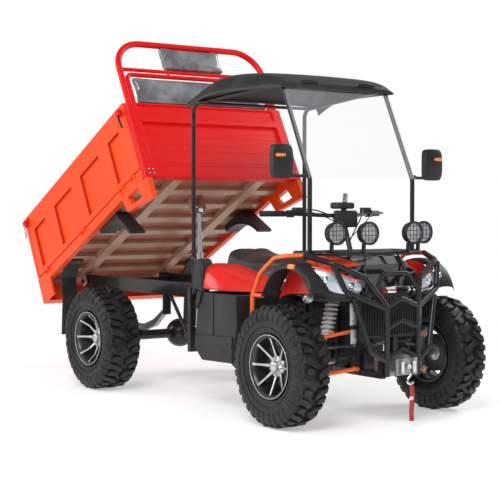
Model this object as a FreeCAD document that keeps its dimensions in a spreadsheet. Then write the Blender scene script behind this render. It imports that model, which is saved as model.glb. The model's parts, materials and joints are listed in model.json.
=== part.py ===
import FreeCAD, Part
import math
import os
import re
import Sketcher

# A farm quad bike with a tipping cargo bed, a canopy and a telescopic lifting ram.
# Frame: +X forward, +Y left, +Z up, millimetres; the ground is z = 0 and the origin lies
# under the middle of the bike. The bed stands tipped back; everything on it is drawn in the
# bed's own frame, whose origin is the hinge pin's axis.

V = FreeCAD.Vector
Y_AXIS = V(0, 1, 0)
SIDES = (("right", -1), ("left", 1))

SIZES = {
    # wheels and axles
    "front_axle_x": 1286, "wheelbase": 1814, "axle_z": 317.5,
    "front_track_half": 547, "rear_track_half": 598,
    "tyre_radius": 317.5, "tyre_wall": 14,
    "front_tyre_width": 190, "rear_tyre_width": 235,
    "bead_radius": 152.4, "rim_lip_radius": 166, "rim_lip": 8, "rim_wall": 6,
    "front_rim_width": 160, "rear_rim_width": 205,
    "hub_radius": 60, "hub_half": 22, "spoke_half": 8, "spoke_count": 8, "web_thickness": 16,
    "spindle_radius": 14, "running_gap": 0.05, "seat_gap": 0.3,
    "kingpin_y": 430, "steer_arm": 100, "tie_rod_z": 385, "tie_rod_radius": 7,
    "ball_radius": 13, "upright_half": 22,
    "lower_ball_z": 235, "upper_ball_z": 432, "arm_radius": 11,
    "lower_pivot_z": 285, "upper_pivot_z": 487, "arm_pivot_y": 134, "arm_spread": 120,
    "shock_radius": 30, "shock_y": 245, "shock_top_y": 200, "shock_top_z": 640,
    "shaft_radius": 13, "boot_radius": 33,
    # main frame
    "frame_y": 115, "frame_tube": 30, "frame_low": 250, "frame_high": 640,
    "frame_front": 307.7, "frame_rear": 1052.5,
    "post_y": 410, "post_square": 32, "post_low": 285, "post_high": 665,
    "rail_y": 293, "rail_width": 50, "rail_low": 592, "rail_high": 675,
    "engine_length": 400, "engine_front": -350, "engine_height": 300,
    # bed
    "hinge_x": -1254, "hinge_z": 630, "hinge_pin": 12, "tilt": 27.66,
    "bed_front": 1382, "bed_length": 1572, "seam_rise": 112, "bed_half_width": 578.6,
    "floor_thickness": 8, "floor_drop": 12, "beam_drop": 62, "beam_y": 310, "beam_width": 70,
    "rib_drop": 45, "rib_width": 60, "rib_count": 9,
    "sill_drop": 65, "sill_width": 40, "seam_gap": 5,
    "side_height": 459, "side_thickness": 30, "side_skin": 12, "hinge_out": 9,
    "hinge_barrel": 9, "hinge_wire": 4, "gate_thickness": 30, "panel_gap": 7,
    "valance_drop": 186, "valance_thickness": 12,
    "headboard_thickness": 44, "headboard_height": 435, "headboard_drop": 84,
    "headboard_post": 68,
    "hoop_radius": 20, "hoop_half": 548, "hoop_top": 886, "hoop_bend": 190,
    "hoop_bar": 688, "inner_hoop_half": 512, "inner_hoop_top": 652,
    "cushion_thickness": 52,
    # lifting ram
    "ram_foot_x": -280, "ram_foot_z": 300, "ram_eye_ahead": 1042, "ram_eye_rise": 12,
    "ram_pin": 9, "ram_radius": 30, "ram_one_radius": 22.5, "ram_two_radius": 16,
    "ram_start": 14, "ram_length": 286, "ram_eye_bore": 21, "ram_eye_radius": 32,
    # steering
    "stem_x": 1126, "stem_z": 1060, "rake": 20, "stem_radius": 14,
    "bar_radius": 11, "bar_z": 1100, "bar_half": 420,
    # canopy and front
    "canopy_radius": 12.5, "front_post_x": 1286, "front_post_y": 360,
    "screen_low": 1285, "screen_top": 1760, "screen_lean": 225, "screen_thickness": 4,
    "rear_post_x": 246, "roof_rail_z": 1800, "roof_wall": 12,
    "bumper_radius": 15, "guard_radius": 12.5, "rack_radius": 10.5, "rack_z": 893, "post_foot": 12,
    "lamp_radius": 63.5, "lamp_depth": 70, "lamp_z": 1000,
    "seat_half": 170, "seat_low": 730, "seat_high": 862,
}

doc = FreeCAD.newDocument("quad_bike")
sheet = doc.addObject("Spreadsheet::Sheet", "Sizes")
for row, (alias, value) in enumerate(SIZES.items(), start=1):
    sheet.set("A%d" % row, alias)
    sheet.set("B%d" % row, str(value))
    sheet.setAlias("B%d" % row, alias)
doc.recompute()

pieces = []


def size(alias):
    """The value of one named size."""
    return float(sheet.get(alias))


def expression(text):
    """Turn a formula of bare size names into one that reads the spreadsheet."""
    return re.sub(r"[a-z][a-z_]+", lambda word: "Sizes." + word.group(0)
                  if word.group(0) in SIZES else word.group(0), text)


def bind(item, prop, formula):
    item.setExpression(prop, expression(formula))


def keep(label, item, placement=None):
    """Name an object as a finished sub-part."""
    item.Label = label
    if placement is not None:
        item.Placement = placement
    pieces.append(item)
    return item


# ---------------------------------------------------------------- building blocks

def box(x_low, x_high, y_low, y_high, z_low, z_high):
    """A box whose six faces are formulas of the named sizes."""
    item = doc.addObject("Part::Box", "box")
    spans = (("Length", "x", x_low, x_high), ("Width", "y", y_low, y_high),
             ("Height", "z", z_low, z_high))
    for prop, axis, low, high in spans:
        bind(item, prop, "(%s) - (%s)" % (high, low))
        bind(item, "Placement.Base." + axis, low)
    return item


def side_box(sign, x_low, x_high, y_low, y_high, z_low, z_high):
    """A box on one side of the bike; y_low is nearer the middle than y_high."""
    if sign > 0:
        return box(x_low, x_high, y_low, y_high, z_low, z_high)
    return box(x_low, x_high, "-(%s)" % y_high, "-(%s)" % y_low, z_low, z_high)


def cross_rod(x, z, radius, y_low, y_high):
    """A round bar across the bike."""
    item = doc.addObject("Part::Cylinder", "rod")
    item.Placement = FreeCAD.Placement(V(), FreeCAD.Rotation(V(1, 0, 0), -90))
    bind(item, "Radius", radius)
    bind(item, "Height", "(%s) - (%s)" % (y_high, y_low))
    bind(item, "Placement.Base.x", x)
    bind(item, "Placement.Base.y", y_low)
    bind(item, "Placement.Base.z", z)
    return item


def fuse(members):
    item = doc.addObject("Part::MultiFuse", "fuse")
    item.Shapes = members
    return item


def cut(base, tools):
    item = doc.addObject("Part::Cut", "cut")
    item.Base = base
    item.Tool = tools[0] if len(tools) == 1 else fuse(tools)
    return item


def feature(shape):
    """A shape that is made from the named sizes by the script's own code."""
    item = doc.addObject("Part::Feature", "shape")
    item.Shape = shape
    return item


def sketch_on(body, role, points):
    """A closed outline on one of the body's origin planes; each corner is bound by formulas."""
    plane = next(f for f in body.Origin.OriginFeatures if f.Role == role)
    sketch = body.newObject("Sketcher::SketchObject", "outline")
    sketch.AttachmentSupport = (plane, "")
    sketch.MapMode = "FlatFace"
    count = len(points)
    rough = []
    for across, up in points:
        rough.append(V(evaluate(across), evaluate(up), 0))
    for index in range(count):
        sketch.addGeometry(Part.LineSegment(rough[index], rough[(index + 1) % count]), False)
    for index in range(count):
        sketch.addConstraint(Sketcher.Constraint("Coincident", index, 2, (index + 1) % count, 1))
    for index, (across, up) in enumerate(points):
        for kind, formula, value in (("DistanceX", across, rough[index].x),
                                     ("DistanceY", up, rough[index].y)):
            place = sketch.addConstraint(Sketcher.Constraint(kind, -1, 1, index, 1, value))
            sketch.setExpression("Constraints[%d]" % place, expression(formula))
    return sketch


def evaluate(formula):
    """The present value of a formula, used as a sketch's first guess."""
    probe = doc.getObject("probe") or doc.addObject("App::FeaturePython", "probe")
    if not hasattr(probe, "Value"):
        probe.addProperty("App::PropertyFloat", "Value")
    return float(probe.evalExpression(expression(formula)))


def padded(role, points, depth, offset):
    """A body padded from an outline: depth along the plane's normal, starting at offset."""
    body = doc.addObject("PartDesign::Body", "Body")
    sketch = sketch_on(body, role, points)
    bind(sketch, "AttachmentOffset.Base.z", offset)
    pad = body.newObject("PartDesign::Pad", "pad")
    pad.Profile = sketch
    bind(pad, "Length", depth)
    sketch.Visibility = False
    return body


def side_pad(sign, points, y_low, y_high):
    """An outline in the bike's long plane, padded across it on one side."""
    depth = "(%s) - (%s)" % (y_high, y_low)
    # the plane's normal is -Y
    offset = y_low if sign < 0 else "-(%s)" % y_high
    return padded("XZ_Plane", points, depth, offset)


def arc_path(points, bend):
    """Straight runs joined by tangent arcs."""
    edges = []
    start = points[0]
    for before, corner, after in zip(points, points[1:], points[2:]):
        first = (before - corner).normalize()
        second = (after - corner).normalize()
        half = first.getAngle(second) / 2
        reach = bend / math.tan(half)
        reach = min(reach, 0.45 * (before - corner).Length, 0.45 * (after - corner).Length)
        radius = reach * math.tan(half)
        inward = (first + second).normalize()
        middle = corner + inward * (radius / math.sin(half) - radius)
        enter = corner + first * reach
        leave = corner + second * reach
        edges.append(Part.LineSegment(start, enter).toShape())
        edges.append(Part.Arc(enter, middle, leave).toShape())
        start = leave
    edges.append(Part.LineSegment(start, points[-1]).toShape())
    return Part.Wire(edges)


def tube(points, radius, bend=40):
    """A round bar bent along a route of (x, y, z) points."""
    route = [V(*point) for point in points]
    path = arc_path(route, bend)
    ring = Part.Wire(Part.makeCircle(radius, route[0], route[1] - route[0]))
    return path.makePipeShell([ring], True, True)


def join(shapes):
    """One solid from touching shapes."""
    return shapes[0].multiFuse(shapes[1:]).removeSplitter()


def bar(start, end, radius):
    """A straight round bar between two (x, y, z) points."""
    low = V(*start)
    run = V(*end) - low
    return Part.makeCylinder(radius, run.Length, low, run)


def loft(sections):
    """A faceted solid through closed outlines of (x, y, z) points, with flat ends."""
    rings = [[V(*point) for point in section] for section in sections]
    faces = [Part.Face(Part.makePolygon(ring + ring[:1])) for ring in (rings[0], rings[-1])]
    count = len(rings[0])
    for here, ahead in zip(rings, rings[1:]):
        for index in range(count):
            after = (index + 1) % count
            for corners in ((here[index], here[after], ahead[after]),
                            (here[index], ahead[after], ahead[index])):
                faces.append(Part.Face(Part.makePolygon(list(corners) + [corners[0]])))
    solid = Part.Solid(Part.Shell(faces))
    if solid.Volume < 0:
        solid.reverse()
    return solid


def slab(spans):
    """A plain box from ((x, x), (y, y), (z, z))."""
    (x_low, x_high), (y_low, y_high), (z_low, z_high) = spans
    return Part.makeBox(x_high - x_low, y_high - y_low, z_high - z_low, V(x_low, y_low, z_low))


FRONT = size("front_axle_x")
BED = FreeCAD.Placement(V(size("hinge_x"), 0, size("hinge_z")),
                        FreeCAD.Rotation(Y_AXIS, -size("tilt")))


# ---------------------------------------------------------------- wheels

def wheel_placement(sign, x, track):
    """The wheel's own +Z points outwards."""
    return FreeCAD.Placement(V(x, sign * track, size("axle_z")),
                             FreeCAD.Rotation(V(1, 0, 0), -90 * sign))


def tyre(width, rim_width):
    body = doc.addObject("PartDesign::Body", "Tyre")
    bead = "(%s / 2 - rim_lip - seat_gap)" % rim_width
    side = "(%s / 2)" % width
    outer = [("bead_radius + seat_gap", bead), ("rim_lip_radius + 2", bead),
             ("rim_lip_radius + 14", "%s * 0.90" % side), ("bead_radius + 85", side),
             ("tyre_radius - 40", "%s * 0.98" % side), ("tyre_radius - 14", "%s * 0.86" % side),
             ("tyre_radius", "%s * 0.68" % side)]
    inner = [("tyre_radius - 2 * tyre_wall", "%s * 0.62" % side),
             ("tyre_radius - 40 - tyre_wall", "%s - tyre_wall" % side),
             ("bead_radius + 85", "%s - tyre_wall" % side),
             ("rim_lip_radius + 14", "%s - 1.6 * tyre_wall" % bead),
             ("bead_radius + seat_gap", "%s - 1.6 * tyre_wall" % bead)]
    points = outer + [(r, "-(%s)" % a) for r, a in outer[::-1]]
    points += [(r, "-(%s)" % a) for r, a in inner[::-1]] + inner
    sketch = sketch_on(body, "XZ_Plane", points)
    turn = body.newObject("PartDesign::Revolution", "turn")
    turn.Profile = sketch
    turn.ReferenceAxis = (sketch, ["V_Axis"])
    turn.Angle = 360
    return body


def rim(width):
    """A dished wheel: barrel, sloping web cut into spokes, and a bored hub."""
    body = doc.addObject("PartDesign::Body", "Rim")
    edge = "(%s / 2)" % width
    bore = "spindle_radius + running_gap"
    inside = "(bead_radius - rim_wall)"
    points = [("rim_lip_radius", edge), ("rim_lip_radius", "%s - rim_lip" % edge),
              ("bead_radius", "%s - rim_lip" % edge), ("bead_radius", "rim_lip - %s" % edge),
              ("rim_lip_radius", "rim_lip - %s" % edge), ("rim_lip_radius", "-%s" % edge),
              (inside, "-%s" % edge), (inside, "%s - rim_lip - web_thickness" % edge),
              ("hub_radius", "-hub_half"), (bore, "-hub_half"), (bore, "hub_half"),
              ("hub_radius", "hub_half"), (inside, "%s - 6" % edge), (inside, edge)]
    sketch = sketch_on(body, "XZ_Plane", points)
    turn = body.newObject("PartDesign::Revolution", "turn")
    turn.Profile = sketch
    turn.ReferenceAxis = (sketch, ["V_Axis"])
    turn.Angle = 360
    doc.recompute()
    whole = turn.Shape.Volume
    near, far = "(hub_radius + 6)", "(bead_radius - rim_wall - 6)"
    slope = "tan(180 deg / spoke_count)"
    lean = "spoke_half / cos(180 deg / spoke_count)"
    corners = [(near, "%s * %s - %s" % (near, slope, lean)),
               (far, "%s * %s - %s" % (far, slope, lean)),
               (far, "%s - %s * %s" % (lean, far, slope)),
               (near, "%s - %s * %s" % (lean, near, slope))]
    window_sketch = sketch_on(body, "XY_Plane", corners)
    window = body.newObject("PartDesign::Pocket", "window")
    window.Profile = window_sketch
    window.Type = "ThroughAll"
    window.SideType = "Symmetric"
    doc.recompute()
    spokes = body.newObject("PartDesign::PolarPattern", "spokes")
    spokes.Originals = [window]
    spokes.Axis = (window_sketch, ["N_Axis"])
    spokes.Angle = 360
    bind(spokes, "Occurrences", "spoke_count")
    body.Tip = spokes
    doc.recompute()
    if not spokes.Shape.Volume < window.Shape.Volume < whole:
        raise ValueError("the wheel's windows cut nothing")
    return body


def wheels():
    ends = (("front", "front_tyre_width", "front_rim_width", "front_track_half", 0),
            ("rear", "rear_tyre_width", "rear_rim_width", "rear_track_half", -size("wheelbase")))
    for end, tyre_width, rim_width, track, shift in ends:
        for side, sign in SIDES:
            placement = wheel_placement(sign, FRONT + shift, size(track))
            keep("tyre_%s_%s" % (end, side), tyre(tyre_width, rim_width), placement)
            keep("rim_%s_%s" % (end, side), rim(rim_width), placement)


# ---------------------------------------------------------------- front suspension and steering

def knuckles():
    for side, sign in SIDES:
        near = "kingpin_y - ball_radius"
        far = "kingpin_y + 8"
        upright = side_box(sign, "front_axle_x - upright_half", "front_axle_x + upright_half",
                           near, far, "lower_ball_z + arm_radius + 6",
                           "upper_ball_z - arm_radius - 6")
        low, high = "kingpin_y", "front_track_half + hub_half + 6"
        if sign < 0:
            low, high = "-(%s)" % high, "-kingpin_y"
        spindle = cross_rod("front_axle_x", "axle_z", "spindle_radius", low, high)
        arm = side_box(sign, "front_axle_x - steer_arm - 12", "front_axle_x", near,
                       "kingpin_y + 6", "tie_rod_z - 26", "tie_rod_z - 12")
        keep("knuckle_" + side, fuse([upright, spindle, arm]))


def stem_point(z):
    """The place on the steering axis at one height."""
    return size("stem_x") + (size("stem_z") - z) * math.tan(math.radians(size("rake")))


def tie_rods():
    height = size("tie_rod_z")
    for side, sign in SIDES:
        outer = (FRONT - size("steer_arm"), sign * size("kingpin_y"), height)
        inner = (stem_point(height) - size("steer_arm"), sign * 40, height)
        rod = bar(outer, inner, size("tie_rod_radius"))
        balls = [Part.makeSphere(size("ball_radius") - 1.3, V(*outer)),
                 Part.makeSphere(size("ball_radius") - 1.3, V(*inner))]
        keep("tie_rod_" + side, feature(join([rod] + balls)))


def suspension_arms():
    radius = size("arm_radius")
    ball_y = size("kingpin_y")
    arms = []
    for _, sign in SIDES:
        for ball_z, pivot_z in ((size("lower_ball_z"), size("lower_pivot_z")),
                                (size("upper_ball_z"), size("upper_pivot_z"))):
            ball = (FRONT, sign * ball_y, ball_z)
            legs = []
            for along in (-size("arm_spread"), size("arm_spread")):
                pivot_y = sign * (size("arm_pivot_y") + radius + size("seat_gap"))
                legs.append(bar(ball, (FRONT + along, pivot_y, pivot_z), radius - 1))
                legs.append(bar((FRONT + along - 18, pivot_y, pivot_z),
                                (FRONT + along + 18, pivot_y, pivot_z), radius))
            share = (ball_y - size("shock_y")) / (ball_y - size("arm_pivot_y") - radius)
            spread = share * size("arm_spread")
            height = ball_z + share * (pivot_z - ball_z)
            tie = bar((FRONT - spread, sign * size("shock_y"), height),
                      (FRONT + spread, sign * size("shock_y"), height), radius - 2)
            knob = Part.makeCylinder(radius + 5, 2 * radius, V(FRONT, sign * ball_y,
                                                               ball_z - radius))
            arms.append(join(legs + [tie, knob]))
    keep("suspension_arms", feature(Part.makeCompound(arms)))


def front_shocks():
    share = (size("kingpin_y") - size("shock_y")) / (size("kingpin_y") - size("arm_pivot_y")
                                                     - size("arm_radius"))
    tie_z = size("upper_ball_z") + share * (size("upper_pivot_z") - size("upper_ball_z"))
    low = tie_z + size("arm_radius") - 2 + size("seat_gap") + 3.2
    shocks = []
    for _, sign in SIDES:
        foot = (FRONT, sign * size("shock_y"), low)
        head = (FRONT, sign * size("shock_top_y"), size("shock_top_z"))
        run = V(*head) - V(*foot)
        coil_end = V(*foot) + run * 0.86
        coil = bar(V(*foot) + run * 0.04, coil_end, size("shock_radius"))
        rod = bar(V(*foot), head, 10)
        shocks.append(join([coil, rod]))
    keep("front_shocks", feature(Part.makeCompound(shocks)))


def half_shafts():
    shafts = []
    for _, sign in SIDES:
        inner = (FRONT, sign * (size("frame_y") - size("frame_tube") / 2 + size("seat_gap")),
                 size("axle_z"))
        outer = (FRONT, sign * (size("kingpin_y") - 31), size("axle_z"))
        boot_inner = (FRONT, sign * 190, size("axle_z"))
        boot_outer = (FRONT, sign * 330, size("axle_z"))
        shafts.append(join([bar(inner, outer, size("shaft_radius")),
                            bar(inner, boot_inner, size("boot_radius")),
                            bar(boot_outer, outer, size("boot_radius"))]))
    keep("half_shafts", feature(Part.makeCompound(shafts)))


def handlebar():
    radius = size("bar_radius")
    back = size("stem_x") - 15
    half = size("bar_half")
    height = size("bar_z")
    outer_x = back - 185
    route = [(outer_x, -half, height), (back - 95, -half + 150, height),
             (back, -100, height - 10), (back, 100, height - 10),
             (back - 95, half - 150, height), (outer_x, half, height)]
    low_z = size("tie_rod_z") + 20
    stem = bar((stem_point(height - 10), 0, height - 10), (stem_point(low_z), 0, low_z),
               size("stem_radius"))
    clamp = slab(((back - 20, back + 22), (-45, 45), (height - 34, height - 4)))
    reach = size("steer_arm")
    pitman = slab(((stem_point(low_z) - reach + 12, stem_point(low_z) + 18), (-18, 18),
                   (low_z, low_z + 12)))
    cross = slab(((stem_point(low_z) - reach - 16, stem_point(low_z) - reach + 18), (-52, 52),
                  (low_z, low_z + 12)))
    keep("handlebar", feature(join([tube(route, radius, 60), stem, clamp, pitman, cross])))


def bar_controls():
    """Lever perches, levers and the display pod; each sits close on the bar."""
    back = size("stem_x") - 15
    height = size("bar_z")
    gap = size("bar_radius") + size("seat_gap")
    items = []
    for _, sign in SIDES:
        y_near, y_far = sorted((sign * 250, sign * 215))
        perch = slab(((back - 85, back - 45), (y_near, y_far), (height + gap - 0.8, height + gap + 22)))
        lever = bar((back - 50, sign * 232, height + gap + 8),
                    (back - 118, sign * 395, height + gap + 4), 6)
        items.append(join([perch, lever]))
    pod_low = height - 4 + size("seat_gap")
    stalk = slab(((back + 12.5, back + 22), (-20, 20), (pod_low, pod_low + 45)))
    pod = slab(((back - 30, back + 45), (-38, 38), (pod_low + 28, pod_low + 62)))
    items.append(join([stalk, pod]))
    keep("bar_controls", feature(Part.makeCompound(items)))


# ---------------------------------------------------------------- frames and drive line

def main_frame():
    """Two side ladders of square tube with cross members and suspension pivots."""
    inner, outer = "frame_y - frame_tube / 2", "frame_y + frame_tube / 2"
    front, rear = "front_axle_x + frame_front", "front_axle_x - frame_rear"
    members = []
    for _, sign in SIDES:
        members.append(side_box(sign, rear, front, inner, outer, "frame_low",
                                "frame_low + frame_tube"))
        members.append(side_box(sign, rear, "front_axle_x + 160", inner, outer,
                                "frame_high - frame_tube", "frame_high"))
        for x in ("front_axle_x - 1020", "front_axle_x - 330", "front_axle_x + 96"):
            members.append(side_box(sign, x, x + " + frame_tube", inner + " + 1", outer + " - 1",
                                    "frame_low + 2", "frame_high - 2"))
        for x in ("front_axle_x - arm_spread - 15", "front_axle_x + arm_spread - 15"):
            members.append(side_box(sign, x, x + " + frame_tube", inner + " + 2", "arm_pivot_y",
                                    "frame_low + 3", "upper_pivot_z + 20"))
        members.append(side_box(sign, "front_axle_x - 20", "front_axle_x + 20", inner,
                                "shock_top_y + 14", "shock_top_z + 3.2", "shock_top_z + 18"))
        members.append(side_box(sign, "front_axle_x - 20", "front_axle_x + 20", inner, outer,
                                "frame_high - frame_tube + 1", "shock_top_z + 17"))
        members.append(side_box(sign, front + " - frame_tube", front, inner + " + 1",
                                outer + " - 1", "frame_low + 1", "frame_low + 90"))
    for x in ("front_axle_x - 980", "front_axle_x - 330", "front_axle_x + 130"):
        members.append(box(x, x + " + frame_tube", "-(%s)" % inner, inner, "frame_low",
                           "frame_low + frame_tube"))
    for x in ("front_axle_x - 1000", "front_axle_x - 400"):
        members.append(box(x, x + " + frame_tube", "-(%s)" % inner, inner,
                           "frame_high - frame_tube", "frame_high"))
    keep("main_frame", fuse(members))


def engine_block():
    side = "frame_y - frame_tube / 2"
    rear = "front_axle_x + engine_front - engine_length"
    keep("engine_block", box(rear, "front_axle_x + engine_front", "-(%s)" % side, side,
                             "frame_low + frame_tube", "frame_low + frame_tube + engine_height"))


def front_gearbox():
    side = "frame_y - frame_tube / 2"
    keep("front_gearbox", box("front_axle_x - 70", "front_axle_x + 70", "-(%s)" % side, side,
                              "frame_low + 8", "frame_low + 100"))


def rear_chassis():
    """Bed rails, square posts, braces, spring hangers, the hinge rod and the ram's foot."""
    front = "front_axle_x - frame_rear"
    post_rear = front + " - post_square"
    rail_near, rail_far = "rail_y - rail_width / 2", "rail_y + rail_width / 2"
    members = []
    spring_x = "(front_axle_x - wheelbase)"
    step_x = "hinge_x + bed_front - 12"
    step_z = "hinge_z + seam_rise - headboard_drop - 8"
    for _, sign in SIDES:
        members.append(side_box(sign, "hinge_x - hinge_pin", step_x, rail_near, rail_far,
                                "rail_low", "rail_high"))
        members.append(side_box(sign, step_x + " - 1", post_rear + " + 1", rail_near + " + 1",
                                rail_far + " - 1", "rail_low + 1", step_z))
        members.append(side_box(sign, post_rear, front, "post_y - post_square / 2",
                                "post_y + post_square / 2", "post_low", "post_high"))
        for x in (spring_x + " + 300", spring_x + " - 330"):
            members.append(side_box(sign, x, x + " + 30", "rail_y", "rail_y + 42",
                                    "axle_z + 155", "rail_low + 5"))
    members.append(box(post_rear, front, "-post_y", "post_y", "rail_low", "rail_low + 40"))
    members.append(box(post_rear, front, "-post_y", "post_y", "post_low", "post_low + 30"))
    for x in ("hinge_x + 120", "hinge_x + 790"):
        members.append(box(x, x + " + 50", "-rail_y", "rail_y", "rail_low + 5", "rail_high - 25"))
    for _, sign in SIDES:
        members.append(side_box(sign, "ram_foot_x - 22", front, "45", "61", "post_low",
                                "post_low + 30"))
    members.append(cross_rod("ram_foot_x", "ram_foot_z", "ram_pin", "-50", "50"))
    members.append(cross_rod("hinge_x", "hinge_z", "hinge_pin", "-(rail_y + rail_width + 12)",
                             "rail_y + rail_width + 12"))
    front_x = size("front_axle_x") - size("frame_rear") - size("post_square") / 2
    for _, sign in SIDES:
        brace = bar((front_x - 420, sign * (size("rail_y") + 8), size("rail_low") + 14),
                    (front_x, sign * (size("post_y") - 10), size("post_low") + 36), 11)
        members.append(feature(brace))
    keep("rear_chassis", fuse(members))


def rear_axle():
    x = FRONT - size("wheelbase")
    z = size("axle_z")
    reach = size("rear_track_half")
    tube_end = reach - size("hub_half") - 12
    shapes = [bar((x, -tube_end, z), (x, tube_end, z), 30),
              bar((x, -reach - size("hub_half") - 6, z), (x, reach + size("hub_half") + 6, z),
                  size("spindle_radius")),
              Part.makeSphere(92, V(x, -20, z)),
              bar((x, -20, z), (x + 130, -20, z), 40)]
    for _, sign in SIDES:
        near, far = sorted((sign * (size("rail_y") + 2), sign * (size("rail_y") + 40)))
        shapes.append(slab(((x - 40, x + 40), (near, far), (z, z + 34))))
    keep("rear_axle", feature(join(shapes)))


def leaf_springs():
    """A curved pack of leaves on each side, flat on the axle's seat."""
    x = "(front_axle_x - wheelbase)"
    seat = "(axle_z + 34)"
    eye = "(axle_z + 160)"
    outline = [(x + " - 50", seat), (x + " + 50", seat), (x + " + 190", seat + " + 42"),
               (x + " + 300 - seat_gap", eye), (x + " + 300 - seat_gap", eye + " + 24"),
               (x + " + 290", eye + " + 24"), (x + " + 180", seat + " + 82"),
               (x + " + 50", seat + " + 40"), (x + " - 50", seat + " + 40"),
               (x + " - 180", seat + " + 82"), (x + " - 300 + seat_gap", eye + " + 24"),
               (x + " - 300 + seat_gap", eye), (x + " - 190", seat + " + 42")]
    springs = []
    for _, sign in SIDES:
        springs.append(side_pad(sign, outline, "rail_y + 4", "rail_y + 38"))
    keep("leaf_springs", fuse(springs))


# ---------------------------------------------------------------- bodywork

def mirror_outline(points):
    """A closed outline across the bike from its left half, given from top to bottom."""
    return points + [(x, -y, z) for x, y, z in points[::-1]]


def front_cowl():
    """The red and black nose, with a hole round the steering stem."""
    rows = ((-410, 120, 210, 668, 775), (-230, 190, 255, 668, 850), (-90, 235, 285, 690, 878),
            (60, 200, 290, 690, 872), (165, 150, 235, 715, 835))
    sections = []
    for along, top, wide, low, high in rows:
        x = FRONT + along
        sections.append(mirror_outline([(x, top, high), (x, wide, (low + high) / 2 + 20),
                                        (x, wide, low)]))
    nose = loft(sections)
    stem = bar((stem_point(500), 0, 500), (stem_point(1000), 0, 1000), size("stem_radius") + 14)
    inner = []
    for _, sign in SIDES:
        near, far = sorted((sign * 230, sign * 372))
        inner.append(slab(((FRONT - 235, FRONT + 60), (near, far), (700, 735))))
    keep("front_cowl", feature(join([nose] + inner).cut(stem)))


def arch(sign):
    """The mudguard arch over a front wheel."""
    x = "front_axle_x"
    outline = [(x + " - 262", "660"), (x + " - 218", "748"), (x + " - 150", "826"),
               (x + " - 48", "862"), (x + " + 56", "856"), (x + " + 140", "828"),
               (x + " + 232", "775"), (x + " + 300", "706"), (x + " + 190", "690"),
               (x + " + 90", "742"), (x + " + 10", "768"), (x + " - 80", "768"),
               (x + " - 150", "738"), (x + " - 200", "662")]
    return side_pad(sign, outline, "372.5", "505")


def front_flares():
    keep("front_flares", fuse([arch(sign) for _, sign in SIDES]))


def headlights():
    lamps = []
    for _, sign in SIDES:
        outline = [(FRONT + 20, 792), (FRONT + 160, 766), (FRONT + 205, 714),
                   (FRONT + 120, 704)]
        section_a = [(x, sign * 296, z) for x, z in outline]
        section_b = [(x - 26, sign * 372.2, z) for x, z in outline]
        lamps.append(loft([section_a, section_b]))
    keep("headlights", feature(Part.makeCompound(lamps)))


def seat():
    low, high = size("seat_low"), size("seat_high")
    half = size("seat_half")
    block = slab(((FRONT - 1062, FRONT - 425), (-half, half), (low, high)))
    long_edges = [e for e in block.Edges if e.BoundBox.ZMin > high - 1]
    block = block.makeFillet(45, long_edges)
    keep("seat", feature(block))


def rear_fenders():
    """The body under the seat with a fender wing on each side."""
    tunnel = box("front_axle_x - 1010", "front_axle_x - 412", "-190", "190",
                 "660 + seat_gap", "seat_low")
    x = "front_axle_x"
    wing = [(x + " - 925", "668"), (x + " - 905", "822"), (x + " - 800", "815"),
            (x + " - 690", "788"), (x + " - 600", "735"), (x + " - 560", "668")]
    wings = [side_pad(sign, wing, "190", "478") for _, sign in SIDES]
    keep("rear_fenders", fuse([tunnel] + wings))


def footwells():
    """A deep bucket for each foot, open at the top."""
    x = "front_axle_x"
    outline = [(x + " - 788", "660"), (x + " - 812", "420"), (x + " - 828", "345"),
               (x + " - 750", "275"), (x + " - 445", "282"), (x + " - 443", "330"),
               (x + " - 398", "480"), (x + " - 405", "660")]
    wells = []
    for _, sign in SIDES:
        hollow = side_box(sign, x + " - 545", x + " - 425", "160", "520", "480", "700")
        deep = side_box(sign, x + " - 740", x + " - 470", "160", "520", "330", "640")
        wells.append(cut(side_pad(sign, outline, "frame_y + frame_tube / 2", "548"),
                         [hollow, deep]))
    keep("footwells", fuse(wells))


def radiator():
    keep("radiator", box("front_axle_x + 172", "front_axle_x + 215", "-192", "192",
                         "450", "682"))


# ---------------------------------------------------------------- front guards and winch

def front_bumper():
    radius = size("bumper_radius")
    shapes = []
    face = size("frame_front") + size("seat_gap") + radius
    side = [[(face, 108, 262), (face, 108, 470), (face - 2, 109, 630)],
            [(34, 418, 884), (195, 358, 846), (247, 189, 770), (face - 2, 109, 625)],
            [(198, 362, 838), (243, 314, 702), (face - 2, 109, 612)],
            [(262, 280, 668), (307, 200, 395), (face + 2, 108, 340)]]
    for route in side:
        for _, sign in SIDES:
            shapes.append(tube([(FRONT + x, sign * y, z) for x, y, z in route], radius, 50))
    for low, high in ((620, 663), (508, 549), (355, 398)):
        route = [(face - 2, -108, low), (face - 8, 0, high), (face - 2, 108, low)]
        shapes.append(tube([(FRONT + x, y, z) for x, y, z in route], radius - 2, 30))
    loop = [(283, -146, 700), (263, -84, 790), (263, 84, 790), (283, 146, 700)]
    shapes.append(tube([(FRONT + x, y, z) for x, y, z in loop], radius - 2, 40))
    keep("front_bumper", feature(join(shapes)))


def side_guards():
    radius = size("guard_radius")
    guards = []
    for _, sign in SIDES:
        main = [(28, 420, 884), (-85, 445, 879), (-172, 460, 868), (-288, 470, 784),
                (-355, 475, 657), (-357, 475, 520), (-384.5, 475, 470)]
        route = [(FRONT + x, sign * y, z) for x, y, z in main]
        branch = bar((FRONT - 352, sign * 474, 662), (FRONT - 262.5, sign * 474, 662), radius - 1)
        guards.append(join([tube(route, radius, 60), branch]))
    keep("side_guards", feature(Part.makeCompound(guards)))


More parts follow.
